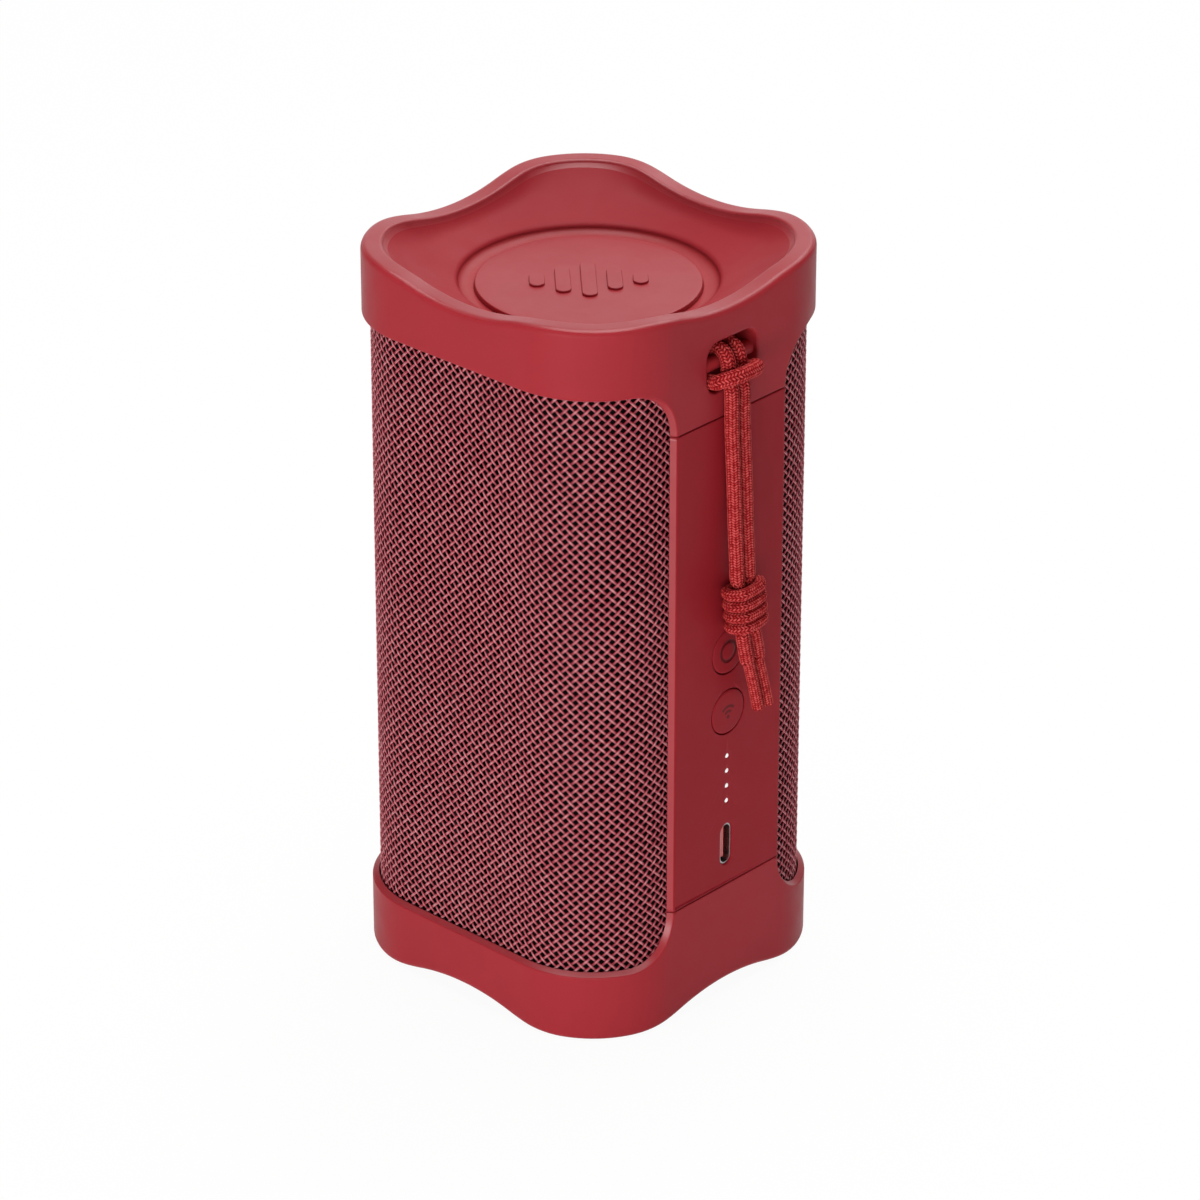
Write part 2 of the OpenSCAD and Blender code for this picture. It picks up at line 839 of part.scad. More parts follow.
module driver_coil() {
    mid = (plate_top + magnet_top) / 2;
    reach = 2.5;
    ring(coil_r - former_t, coil_r, -mid - reach, -cone_neck + cone_t);
    ring(coil_r - graze, coil_r + winding_t, -mid - reach, -mid + reach);
}

module driver_spider() {
    inner = coil_r + fit;
    steps = 6;
    ripple = 0.6;
    cloth_t = 0.4;
    pitch = (ledge_r + ledge_t - fit - inner) / steps;
    level = -basket_depth + ledge_t + fit;
    rotate_extrude() polygon(concat(
        [for (i = [0:steps]) [inner + i * pitch, level + (i % 2) * ripple]],
        [for (i = [steps:-1:0]) [inner + i * pitch, level + cloth_t + (i % 2) * ripple]]
    ));
}

module driver_cone() {
    rotate_extrude() polygon([
        [coil_r + fit, -cone_neck], [cone_r, -cone_lip], [cone_r + cone_lip_w, -cone_lip],
        [cone_r + cone_lip_w, -cone_lip + cone_lip_t], [cone_r - run, -cone_lip + cone_lip_t],
        [coil_r + fit, -cone_neck + cone_t]
    ]);
}

module driver_dust_cap() {
    base_r = coil_r + 1.5;
    base_z = -cone_neck + cone_t + (base_r - coil_r - fit) * cone_slope + fit;
    rise = 2.4;
    shell_t = 0.4;
    r = (base_r * base_r + rise * rise) / (2 * rise);
    translate([0, 0, base_z]) rotate_extrude() intersection() {
        translate([0, rise - r]) difference() {
            circle(r);
            circle(r - shell_t);
        }
        square([base_r, rise + over]);
    }
}

module driver_surround() {
    base = -cone_lip + cone_lip_t + fit;
    foot = 0.6;
    rotate_extrude() {
        translate([driver_roll_c, fit]) intersection() {
            difference() {
                circle(driver_roll_r);
                circle(driver_roll_r - driver_roll_t);
            }
            translate([-driver_roll_r, 0]) square([2 * driver_roll_r, driver_roll_r]);
        }
        translate([driver_roll_c - driver_roll_r, base]) square([driver_roll_t, fit + graze - base]);
        translate([driver_roll_c + driver_roll_r - driver_roll_t, fit]) square([driver_roll_t + foot, driver_roll_t]);
    }
}

module driver_screw() {
    translate([0, 0, fit]) cylinder(h = driver_head_h, r = driver_head_r);
    translate([0, 0, -driver_screw_l]) cylinder(h = driver_screw_l + fit + graze, r = driver_screw_r);
}

module front_basket() { color(black) at_front() basket(); }
module front_top_plate() { color(steel) at_front() driver_top_plate(); }
module front_magnet() { color(black) at_front() driver_magnet(); }
module front_yoke() { color(steel) at_front() driver_yoke(); }
module front_spider() { color(gold) at_front() driver_spider(); }
module front_coil() { color(gold) at_front() driver_coil(); }
module front_cone() { color(black) at_front() driver_cone(); }
module front_dust_cap() { color(black) at_front() driver_dust_cap(); }
module front_driver_surround() { color(rubber_black) at_front() driver_surround(); }
module rear_basket() { color(black) at_rear() basket(); }
module rear_top_plate() { color(steel) at_rear() driver_top_plate(); }
module rear_magnet() { color(black) at_rear() driver_magnet(); }
module rear_yoke() { color(steel) at_rear() driver_yoke(); }
module rear_spider() { color(gold) at_rear() driver_spider(); }
module rear_coil() { color(gold) at_rear() driver_coil(); }
module rear_cone() { color(black) at_rear() driver_cone(); }
module rear_dust_cap() { color(black) at_rear() driver_dust_cap(); }
module rear_driver_surround() { color(rubber_black) at_rear() driver_surround(); }
module driver_screws() { color(steel) each_driver() driver_screw_places() driver_screw(); }

// Boards, lights and charging socket

module board(z0, z1) {
    difference() {
        box(half - board_back, half - board_front, -board_w / 2, board_w / 2, z0, z1);
        board_corners(z0, z1) disc_x(board_screw_r + fit, half - board_back - over, half - board_front + over, 0, 0);
    }
}

module main_board() { color(board_green) board(board_z0, board_z1); }
module key_board() { color(board_green) on_volume_side() board(key_board_z0, key_board_z1); }

module chip(y, z, w, h, t) {
    x0 = half - board_front;
    box(x0, x0 + t, y - w / 2, y + w / 2, z - h / 2, z + h / 2);
}

// Shielded radio module, amplifier and two chokes on the main board
module board_chips() {
    x0 = half - board_front;
    choke_z = pairing_z - choke_drop;
    color(black) {
        chip(-radio_aside, board_z1 - radio_inset, radio_w, radio_h, radio_t);
        chip(chip_aside, (power_z + pairing_z) / 2, amplifier_w, amplifier_w, amplifier_t);
        for (z = [choke_z - choke_pitch, choke_z]) disc_x(choke_r, x0, x0 + choke_r, chip_aside, z);
    }
}

module switch(z) {
    box(half - board_front, half - switch_top, -switch_w / 2, switch_w / 2, z - switch_w / 2, z + switch_w / 2);
    disc_x(plunger_r, half - switch_top - graze, half - plunger_tip, 0, z);
}

module button_switches() {
    color(steel) {
        for (z = [power_z, pairing_z]) switch(z);
        on_volume_side() for (z = key_places()) switch(z);
    }
}

module board_screws_of(z0, z1) {
    board_corners(z0, z1) {
        disc_x(board_head_r, half - board_front + fit, half - board_front + fit + board_head_h, 0, 0);
        disc_x(board_screw_r, half - pocket_in - board_screw_grip, half - board_front + fit + graze, 0, 0);
    }
}

module board_screws() {
    color(steel) {
        board_screws_of(board_z0, board_z1);
        on_volume_side() board_screws_of(key_board_z0, key_board_z1);
    }
}

module light_lens() {
    places = light_places();
    back = wall_in + fit;
    color(white) {
        for (z = places) disc_x(light_d / 2, half - back - graze, half, 0, z);
        box(half - back - light_bar_t, half - back, -light_bar_w / 2, light_bar_w / 2,
            places[0] - light_bar_w / 2, places[3] + light_bar_w / 2);
    }
}

module usb_shell() {
    color(steel) translate([0, 0, usb_z]) difference() {
        along_x(half - board_front, half - usb_mouth) upright_slot(usb_h, usb_w);
        along_x(half - board_front + over, half + over)
            upright_slot(usb_h - 2 * usb_wall, usb_w - 2 * usb_wall);
    }
}

module usb_tongue() {
    color(black) box(half - board_front + over, half - tongue_in, -tongue_h / 2, tongue_h / 2,
        usb_z - tongue_w / 2, usb_z + tongue_w / 2);
}

// Battery

module at_cells() {
    for (s = [-1, 1]) translate([s * cell_x, 0, 0]) children();
}

module battery_holder() {
    z0 = bridge_z + bridge_t;
    w = cell_x + cell_d / 2 + holder_wall;
    d = cell_d / 2 + holder_wall;
    color(black) difference() {
        box(-w, w, -d, d, z0, z0 + holder_h);
        translate([0, 0, cell_z]) at_cells() cylinder(h = holder_h, r = cell_d / 2 + fit);
    }
}

module battery_cells() {
    color(cell_blue) translate([0, 0, cell_z]) at_cells() {
        cylinder(h = cell_l, r = cell_d / 2);
        translate([0, 0, cell_l - graze]) cylinder(h = nub_h + graze, r = nub_r);
    }
}

module battery_board() {
    w = cell_x + nub_r + battery_board_margin;
    d = nub_r + battery_board_margin;
    color(board_green) box(-w, w, -d, d, battery_board_z, battery_board_z + battery_board_t);
}

// Cord

module strap_bar() {
    color(red) translate([bar_x, -bar_l / 2, bar_z]) rotate([-90, 0, 0]) cylinder(h = bar_l, r = bar_r);
}

function unit(v) = v / norm(v);
function ease(t) = t * t * (3 - 2 * t);

function tangent(points, i) =
    unit(points[min(i + 1, len(points) - 1)] - points[max(i - 1, 0)]);

// Directions square to the path, each carried on from the one before, so that the tube doesn't twist
function carried(points, u, i = 0) =
    i == len(points) ? [] :
    let (t = tangent(points, i), w = unit(u - (u * t) * t))
    concat([w], carried(points, w, i + 1));

function tube_points(points, radii, sides, first_side) =
    let (across = carried(points, first_side))
    [for (i = [0:len(points) - 1], k = [0:sides - 1])
        let (a = 360 * k / sides, v = cross(tangent(points, i), across[i]))
        points[i] + radii[i] * (cos(a) * across[i] + sin(a) * v)];

// A closed tube along points, with a radius at each
module tube(points, radii, sides, first_side) {
    n = len(points);
    walls = [for (i = [0:n - 2], k = [0:sides - 1])
        let (a = i * sides + k, b = i * sides + (k + 1) % sides)
        each [[a, b + sides, b], [a, a + sides, b + sides]]];
    first = [for (k = [1:sides - 2]) [0, k, k + 1]];
    last = [for (k = [1:sides - 2]) [0, k + 1, k] + (n - 1) * sides * [1, 1, 1]];
    polyhedron(points = tube_points(points, radii, sides, first_side), faces = concat(walls, first, last));
}

// One side of the loop, from the front of the bar over its top and back, then out below it
function loop_side(s) =
    let (y0 = hang[0][1] + s * strand_half, y1 = hang[0][1] + s * loop_end)
    concat(
        [[bar_x + loop_r, y0, bar_z - hang[0][2]]],
        [for (i = [0:loop_steps])
            let (t = i / loop_steps, a = 270 * t)
            [bar_x + loop_r * cos(a), y0 + (y1 - y0) * ease(max(0, (t - loop_apart) / (1 - loop_apart))),
                bar_z + loop_r * sin(a)]],
        [for (p = bight) [half + p[0], hang[0][1] + s * p[1], bar_z - loop_r + p[2]]]
    );

function reversed(list) = [for (i = [len(list) - 1:-1:0]) list[i]];

loop_path = concat(loop_side(-1), reversed(loop_side(1)));

module strap_loop() { color(cord_red) tube(loop_path, [for (p = loop_path) cord_r], cord_sides, [0, 1, 0]); }

// One side of the cord, from the bar through the knot to its end
function in_knot(i) = i >= knot_first && i <= knot_last;
function half_gap(i) = in_knot(i) ? squeezed_half : i >= tail_from ? tail_half : strand_half;
function strand(s) = [for (i = [0:len(hang) - 1])
    [half + hang[i][0], hang[i][1] + s * half_gap(i), bar_z - hang[i][2]]];
strand_radii = [for (i = [0:len(hang) - 1]) in_knot(i) ? squeezed_r : i >= tail_from ? tail_r : cord_r];

module strap_left() { color(cord_red) tube(strand(-1), strand_radii, cord_sides, [0, 1, 0]); }
module strap_right() { color(cord_red) tube(strand(1), strand_radii, cord_sides, [0, 1, 0]); }

// The winding starts beside the cord and ends behind it
function knot_point(a) =
    let (down = knot_pitch * (a / 360 - knot_turns / 2))
    [knot_x - knot_turn_r * cos(a),
        knot_y + knot_lean * down + knot_turn_r * sin(a) + squeezed_half * max(-1, min(1, 3 * sin(a))),
        knot_z - down];
knot_path = [for (a = [knot_from:360 / knot_steps:360 * knot_turns + knot_past]) knot_point(a)];

knot_self_gap = min([for (i = [0:len(knot_path) - 1], j = [0:len(knot_path) - 1])
    if (j - i > knot_steps / 2) norm(knot_path[i] - knot_path[j])]) - 2 * knot_r;
echo(knot_self_gap = knot_self_gap);

module strap_knot() { color(cord_red) tube(knot_path, [for (p = knot_path) knot_r], knot_sides, [0, 0, 1]); }

top_cap();
bottom_cap();
control_panel();
volume_panel();
front_grille();
rear_grille();
front_mesh();
rear_mesh();
cabinet();
top_end_plate();
bottom_end_plate();
end_plate_screws();
top_surround();
top_disc();
top_weight();
top_emblem();
bottom_surround();
bottom_disc();
bottom_weight();
front_basket();
front_top_plate();
front_magnet();
front_yoke();
front_spider();
front_coil();
front_cone();
front_dust_cap();
front_driver_surround();
rear_basket();
rear_top_plate();
rear_magnet();
rear_yoke();
rear_spider();
rear_coil();
rear_cone();
rear_dust_cap();
rear_driver_surround();
driver_screws();
power_button();
pairing_button();
volume_up_button();
play_button();
volume_down_button();
main_board();
board_chips();
key_board();
button_switches();
board_screws();
light_lens();
usb_shell();
usb_tongue();
battery_holder();
battery_cells();
battery_board();
strap_bar();
strap_loop();
strap_left();
strap_right();
strap_knot();
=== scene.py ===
"""Looks of the portable speaker: caps, panels, buttons, radiators, woven grilles and a braided cord.

Lengths are in millimetres until a mesh is made. The frame is the CAD model's: origin at the centre of the
footprint on the floor, +Z up, -Y the front grille, +X the control panel.
"""

import json
import math
import random

import bpy
from mathutils import Matrix, Vector
from mathutils.geometry import tessellate_polygon


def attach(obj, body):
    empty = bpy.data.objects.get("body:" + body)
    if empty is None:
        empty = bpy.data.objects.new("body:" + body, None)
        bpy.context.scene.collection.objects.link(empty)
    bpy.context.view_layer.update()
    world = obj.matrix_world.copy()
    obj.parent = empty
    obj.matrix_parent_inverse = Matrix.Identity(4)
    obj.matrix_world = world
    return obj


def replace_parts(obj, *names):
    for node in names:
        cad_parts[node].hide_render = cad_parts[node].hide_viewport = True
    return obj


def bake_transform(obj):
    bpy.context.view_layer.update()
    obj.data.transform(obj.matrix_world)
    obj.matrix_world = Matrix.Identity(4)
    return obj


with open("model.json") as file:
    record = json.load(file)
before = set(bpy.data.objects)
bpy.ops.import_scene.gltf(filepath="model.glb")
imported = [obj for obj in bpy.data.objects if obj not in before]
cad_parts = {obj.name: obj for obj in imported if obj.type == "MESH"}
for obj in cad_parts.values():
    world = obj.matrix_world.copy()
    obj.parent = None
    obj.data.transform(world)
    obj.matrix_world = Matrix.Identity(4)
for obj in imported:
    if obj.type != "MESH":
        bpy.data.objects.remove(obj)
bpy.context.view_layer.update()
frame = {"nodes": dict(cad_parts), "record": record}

MM = 0.001
# A full round end keeps a flat of twice this length, so that no edge shrinks to nothing
END_FLAT = 0.001
HALF = 37.0
CORNER_R = 20.7
CORNER_C = HALF - CORNER_R
HEIGHT = 153.0
WAVE_DEPTH = 3.05
WAVE_HALF = 24.7
RIM_W = 4.4
RIM_OUTER_R = 1.3
RIM_INNER_R = 0.9
LIP_R = 25.7
LIP_DROP = 7.7
LIP_BOTTOM = 9.8
HOLE_R = 24.9
BOWL_R = 75.0
WINDOW_R = 10.4
PANEL_HALF = 15.4
SEAM = 25.0
SEAM_GAP = 0.1
DISC_R = 22.0
DISC_DROP = 8.75
BUTTON_R = 4.7
BUTTON_HOLE_R = 4.9
BUTTON_Z = {"power": 77.0, "pairing": 63.75, "volume_up": 91.0, "play": 77.0, "volume_down": 63.0}
BAR_X = 34.7
BAR_Z = 138.7
CORD_R = 1.5


# Camera

def make_camera():
    azimuth = math.radians(42.793)
    elevation = math.radians(26.987)
    distance = 1.10836
    target = Vector((0, 0, 0.07528))
    back = Vector((math.sin(azimuth) * math.cos(elevation),
                   -math.cos(azimuth) * math.cos(elevation), math.sin(elevation)))
    data = bpy.data.cameras.new("camera")
    data.sensor_width = 36.0
    data.lens = 168.095
    data.shift_x = 0.0094
    data.clip_start = 0.05
    data.clip_end = 20.0
    camera = bpy.data.objects.new("camera", data)
    bpy.context.scene.collection.objects.link(camera)
    camera.location = target + back * distance
    camera.rotation_mode = "QUATERNION"
    camera.rotation_quaternion = (-back).to_track_quat("-Z", "Y")
    bpy.context.scene.camera = camera


make_camera()
bpy.context.scene.view_settings.view_transform = "Standard"


# Materials

# Scales of the noise, per metre
CLOUD_SCALE = 55.0
WEAR_SCALE = 190.0
STREAK_SCALE = 900.0
THREAD_WEAR_SCALE = 700.0
THREAD_GRAIN_SCALE = 9000.0
LENS_CLOUD_SCALE = 900.0
# Noise mostly lies between these values
NOISE_LOW = 0.3
NOISE_HIGH = 0.7
# Depths of the bumps, in metres
THREAD_GRAIN_DEPTH = 0.00003
STREAK_DEPTH = 0.00002
LENS_DEPTH = 0.00002


def new_material(name):
    material = bpy.data.materials.new(name)
    material.use_nodes = True
    tree = material.node_tree
    return material, tree, tree.nodes["Principled BSDF"]


def node(tree, kind, **inputs):
    made = tree.nodes.new(kind)
    for key, value in inputs.items():
        made.inputs[key.replace("_", " ")].default_value = value
    return made


def noise(tree, scale, detail=2.0, stretch=None):
    """Noise in the object's own coordinates."""
    place = tree.nodes.new("ShaderNodeTexCoord")
    made = node(tree, "ShaderNodeTexNoise", Scale=scale, Detail=detail)
    source = place.outputs["Object"]
    if stretch is not None:
        mapping = node(tree, "ShaderNodeMapping", Scale=stretch)
        tree.links.new(source, mapping.inputs["Vector"])
        source = mapping.outputs["Vector"]
    tree.links.new(source, made.inputs["Vector"])
    return made.outputs["Fac"]


def ramp(tree, source, stops):
    made = tree.nodes.new("ShaderNodeValToRGB")
    elements = made.color_ramp.elements
    while len(elements) < len(stops):
        elements.new(0.5)
    for element, (at, colour) in zip(elements, stops):
        element.position = at
        element.color = (*colour, 1.0)
    tree.links.new(source, made.inputs["Fac"])
    return made.outputs["Color"]


def spread(tree, source, low, high):
    made = node(tree, "ShaderNodeMapRange", From_Min=NOISE_LOW, From_Max=NOISE_HIGH, To_Min=low, To_Max=high)
    tree.links.new(source, made.inputs["Value"])
    return made.outputs["Result"]


def bump(tree, shader, source, strength, distance):
    made = node(tree, "ShaderNodeBump", Strength=strength, Distance=distance)
    tree.links.new(source, made.inputs["Height"])
    tree.links.new(made.outputs["Normal"], shader.inputs["Normal"])


def tint(colour, factor):
    return tuple(min(1.0, channel * factor) for channel in colour)


def moulded(name, colour, roughness, grain=3000.0, depth=0.00004, specular=0.5, variation=0.03):
    """Moulded plastic or rubber: cloudy colour, uneven gloss and a fine grain."""
    material, tree, shader = new_material(name)
    clouds = noise(tree, CLOUD_SCALE, 3.0)
    stops = [(NOISE_LOW, tint(colour, 1 - variation)), (NOISE_HIGH, tint(colour, 1 + variation))]
    tree.links.new(ramp(tree, clouds, stops), shader.inputs["Base Color"])
    wear = noise(tree, WEAR_SCALE, 4.0)
    tree.links.new(spread(tree, wear, roughness - 0.05, roughness + 0.05), shader.inputs["Roughness"])
    shader.inputs["Specular IOR Level"].default_value = specular
    bump(tree, shader, noise(tree, grain), 0.35, depth)
    return material


def metal(name, colour, roughness, stretch=(1.0, 1.0, 12.0)):
    """Plated or brushed metal, with streaks along one direction."""
    material, tree, shader = new_material(name)
    streaks = noise(tree, STREAK_SCALE, 3.0, stretch)
    stops = [(NOISE_LOW, tint(colour, 0.9)), (NOISE_HIGH, tint(colour, 1.06))]
    tree.links.new(ramp(tree, streaks, stops), shader.inputs["Base Color"])
    tree.links.new(spread(tree, streaks, roughness - 0.06, roughness + 0.06), shader.inputs["Roughness"])
    shader.inputs["Metallic"].default_value = 1.0
    bump(tree, shader, streaks, 0.1, STREAK_DEPTH)
    return material


def toned_with_painted_light(name, stops, roughness, specular):
    """Thread or tape whose colour follows the tone that each filament carries, which holds random spread
    together with painted shade and painted highlight.
    """
    material, tree, shader = new_material(name)
    tone_and_light = tree.nodes.new("ShaderNodeAttribute")
    tone_and_light.attribute_name = "tone_and_light"
    tree.links.new(ramp(tree, tone_and_light.outputs["Fac"], stops), shader.inputs["Base Color"])
    wear = noise(tree, THREAD_WEAR_SCALE)
    tree.links.new(spread(tree, wear, roughness - 0.08, roughness + 0.08), shader.inputs["Roughness"])
    shader.inputs["Specular IOR Level"].default_value = specular
    bump(tree, shader, noise(tree, THREAD_GRAIN_SCALE), 0.3, THREAD_GRAIN_DEPTH)
    return material


def glowing(name, colour, strength):
    """Milky lens over a small lamp, with a slight glow that is painted light so that it looks white in
    shade.
    """
    material, tree, shader = new_material(name)
    clouds = noise(tree, LENS_CLOUD_SCALE)
    stops = [(NOISE_LOW, tint(colour, 0.94)), (NOISE_HIGH, colour)]
    tree.links.new(ramp(tree, clouds, stops), shader.inputs["Base Color"])
    shader.inputs["Emission Color"].default_value = (*colour, 1.0)
    shader.inputs["Emission Strength"].default_value = strength
    shader.inputs["Roughness"].default_value = 0.3
    bump(tree, shader, clouds, 0.1, LENS_DEPTH)
    return material


CAP_RED = (0.325, 0.0235, 0.0315)
PANEL_RED = (0.285, 0.0145, 0.0215)
MARK_RED = (0.12, 0.006, 0.009)

MATERIALS = {
    "cap_soft_plastic": moulded("cap_soft_plastic", CAP_RED, 0.42, specular=0.08),
    "panel_plastic": moulded("panel_plastic", PANEL_RED, 0.42, specular=0.06),
    "grille_plastic": moulded("grille_plastic", (0.004, 0.002, 0.002), 0.6, specular=0.03),
    "cabinet_plastic": moulded("cabinet_plastic", (0.012, 0.012, 0.013), 0.6, specular=0.2),
    "screw_steel": metal("screw_steel", (0.56, 0.56, 0.58), 0.35),
    "radiator_rubber": moulded("radiator_rubber", (0.34, 0.026, 0.032), 0.42, depth=0.00003, specular=0.25),
    "disc_plastic": moulded("disc_plastic", (0.33, 0.02, 0.028), 0.36, depth=0.00002, specular=0.42),
    "plate_steel": metal("plate_steel", (0.5, 0.5, 0.52), 0.4),
    "magnet_black": moulded("magnet_black", (0.05, 0.05, 0.054), 0.4, variation=0.15),
    "cone_black": moulded("cone_black", (0.008, 0.008, 0.009), 0.7, grain=1500.0, depth=0.00006,
                          specular=0.1),
    "driver_rubber": moulded("driver_rubber", (0.01, 0.01, 0.011), 0.55, specular=0.15),
    "spider_cloth": moulded("spider_cloth", (0.5, 0.32, 0.1), 0.75, grain=1800.0, depth=0.00008,
                            variation=0.12),
    "coil_copper": metal("coil_copper", (0.7, 0.36, 0.18), 0.3, stretch=(1.0, 14.0, 1.0)),
    "board_green": moulded("board_green", (0.015, 0.11, 0.05), 0.35, grain=800.0, variation=0.12),
    "chip_black": moulded("chip_black", (0.018, 0.018, 0.02), 0.45, grain=4000.0),
    # The lenses' glow is painted light
    "lens_white": glowing("lens_white", (0.95, 0.95, 0.95), 0.35),
    "socket_steel": metal("socket_steel", (0.36, 0.34, 0.34), 0.3),
    "cell_wrap": moulded("cell_wrap", (0.05, 0.13, 0.34), 0.3, grain=1200.0),
    # The bar's red is paler than the panel's, painted light against the shade of the recess it sits in
    "bar_plastic": moulded("bar_plastic", (0.5, 0.036, 0.046), 0.45, specular=0.12),
}
SATIN = moulded("rim_satin", CAP_RED, 0.36, specular=0.45)
MARKS = moulded("mark_print", MARK_RED, 0.5, specular=0.1)
# The recess gets a paler copy of the cap's red: painted light against the shade inside it
RECESS_LIT = moulded("recess_plastic_lit", (0.45, 0.03, 0.038), 0.5, specular=0.2)
# The socket's tongue is far paler than its red plastic, painted light against the shade inside the socket
SOCKET_TONGUE_LIT = moulded("tongue_plastic_lit", (0.75, 0.13, 0.12), 0.4)
# Colours by tone, from the painted shade at a thread's edges to the painted highlight of its palest filament
TAPE_COLOURS = [(0.0, (0.025, 0.002, 0.003)), (0.5, (0.4, 0.037, 0.06)), (1.0, (0.66, 0.4, 0.41))]
CORD_COLOURS = [(0.0, (0.06, 0.002, 0.003)), (0.6, (0.3, 0.008, 0.011)), (1.0, (0.62, 0.09, 0.085))]
WEAVE = toned_with_painted_light("woven_skin", TAPE_COLOURS, 0.5, 0.15)
BRAID = toned_with_painted_light("cord_braid", CORD_COLOURS, 0.65, 0.05)

MATERIALS["woven_skin"] = WEAVE
MATERIALS["cord_braid"] = BRAID
slots = {row["node"]: row["material_slot"] for row in frame["record"]["subparts"]}
for name, obj in frame["nodes"].items():
    obj.data.materials.clear()
    obj.data.materials.append(MATERIALS[slots[name]])
frame["nodes"]["usb_tongue"].data.materials[0] = SOCKET_TONGUE_LIT


# Mesh helpers

class Builder:
    """Collects the points and faces of one piece."""

    def __init__(self):
        self.points = []
        self.faces = []
        self.paint = []

    def add(self, points):
        first = len(self.points)
        self.points.extend(points)
        return list(range(first, first + len(points)))

    def face(self, corners, paint=0):
        self.faces.append(tuple(corners))
        self.paint.append(paint)

    def rows(self, rows, closed=True, flip=False, skip=None, paint=None):
        """Joins rows of as many points by four-sided faces. Paint maps a row to a material's number."""
        count = len(rows[0])
        for j in range(len(rows) - 1):
            for i in range(count if closed else count - 1):
                if skip is not None and skip(i, j):
                    continue
                k = (i + 1) % count
                corners = [rows[j][i], rows[j][k], rows[j + 1][k], rows[j + 1][i]]
                self.face(corners[::-1] if flip else corners, paint.get(j, 0) if paint else 0)

    def fill(self, loops, axis, positive=True):
        """Fills a flat outline with holes. The face looks along the axis."""
        flat = [index for loop in loops for index in loop]
        drop = "xyz".index(axis)
        outlines = [[Vector([c for n, c in enumerate(self.points[i]) if n != drop] + [0.0]) for i in loop]
                    for loop in loops]
        for triangle in tessellate_polygon(outlines):
            corners = [flat[i] for i in triangle]
            a, b, c = (Vector(self.points[i]) for i in corners)
            facing = (b - a).cross(c - a)[drop] > 0
            self.face(corners if facing == positive else corners[::-1])

    def moved(self, change):
        self.points = [change(p) for p in self.points]

    def piece(self, name, materials, body="body", replaces=(), weighted=False, ride=True):
        mesh = bpy.data.meshes.new(name)
        mesh.from_pydata([(x * MM, y * MM, z * MM) for x, y, z in self.points], [], self.faces)
        mesh.polygons.foreach_set("use_smooth", [True] * len(mesh.polygons))
        mesh.polygons.foreach_set("material_index", self.paint)
        for material in materials:
            mesh.materials.append(material)
        obj = bpy.data.objects.new(name, mesh)
        bpy.context.scene.collection.objects.link(obj)
        if weighted:
            normals = obj.modifiers.new("normals", "WEIGHTED_NORMAL")
            normals.weight = 50
            normals.keep_sharp = True
        if ride:
            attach(obj, body)
        if replaces:
            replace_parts(obj, *replaces)
        return obj


def arc(start, end, steps):
    """Angles in equal steps, both ends included."""
    return [math.radians(start + (end - start) * i / steps) for i in range(steps + 1)]


def circle(steps):
    """Angles all round, the first one not repeated."""
    return arc(0, 360, steps)[:-1]


def rounded_rectangle(width, height, radius, steps=8):
    """Outline in two directions, counter-clockwise."""
    found = []
    for number, (sx, sy) in enumerate([(1, 1), (-1, 1), (-1, -1), (1, -1)]):
        for a in arc(90 * number, 90 * number + 90, steps):
            found.append((sx * (width / 2 - radius) + radius * math.cos(a),
                          sy * (height / 2 - radius) + radius * math.sin(a)))
    return found


def smooth_step(t):
    t = min(1.0, max(0.0, t))
    return t * t * (3 - 2 * t)


# Caps

# Sideways place and depth of the moulded edge beside a window, from the wall's foot to the face
WINDOW_EDGE = [(0.7, 1.3), (0.26, 0.42), (0.12, 0.15), (0.0, 0.04), (-0.18, 0.0), (-0.5, 0.0)]
# The same at the seam with a panel
SEAM_EDGE = [(0.0, 1.3), (0.0, 0.42), (-0.04, 0.15), (-0.1, 0.04), (-0.25, 0.0), (-0.5, 0.0)]
# Shares of the outer wall's height; the bar's recess lies between the first two
WALL_ROWS = [0.11, 0.83, 0.94]
# Distances inwards of the rows on the flat top of the rim
RIM_FLAT = (1.9, 2.7)
# Steps over the lip: outwards from its radius, and down
LIP_EDGE = [(0.1, 0.03), (-0.12, 0.17), (-0.3, 0.38), (-0.45, 0.65), (HOLE_R - LIP_R, LIP_BOTTOM - LIP_DROP)]
# The bowl's surface ends this far outside the lip's radius
LIP_EASE = 0.35
BOWL_STEPS = 16
# Share of the way down the bowl in which the rim's wave dies out, and how fast it does
SETTLE_SHARE = 0.42
SETTLE_POWER = 2.4
# Rows of the rim's top and of the moulded edges, which are glossier
RIM_ROWS = (12, 25)
EDGE_ROWS = (0, 1)
# Stations across half a panel: their spacing, and the place of the last one
STATION_STEP = 1.35
STATION_COUNT = 12
LAST_STATION = 14.6
# Keeps a window's first station apart from the panel's edge
STATION_GAP = 0.003
# The recess around the cord's bar, and the width of skin that is cut open for it
RECESS_W = 14.0
RECESS_H = 10.3
RECESS_R = 3.0
RECESS_REACH = 8.2
# How far the recess's outline grows, by depth
RECESS_EDGE = [(0.55, 0.0), (0.27, 0.07), (0.08, 0.25), (0.0, 0.6), (0.0, 3.8), (0.0, 6.9)]
RECESS_ROWS = (3, 4)
# Distances from the crests to the ends of the woven windows
TOP_WINDOW = 14.1
BOTTOM_WINDOW = 14.3
# Numbers of the materials of a cap and of a panel
CAP_LIT_RECESS, CAP_SATIN = 1, 2
PANEL_SATIN = 1


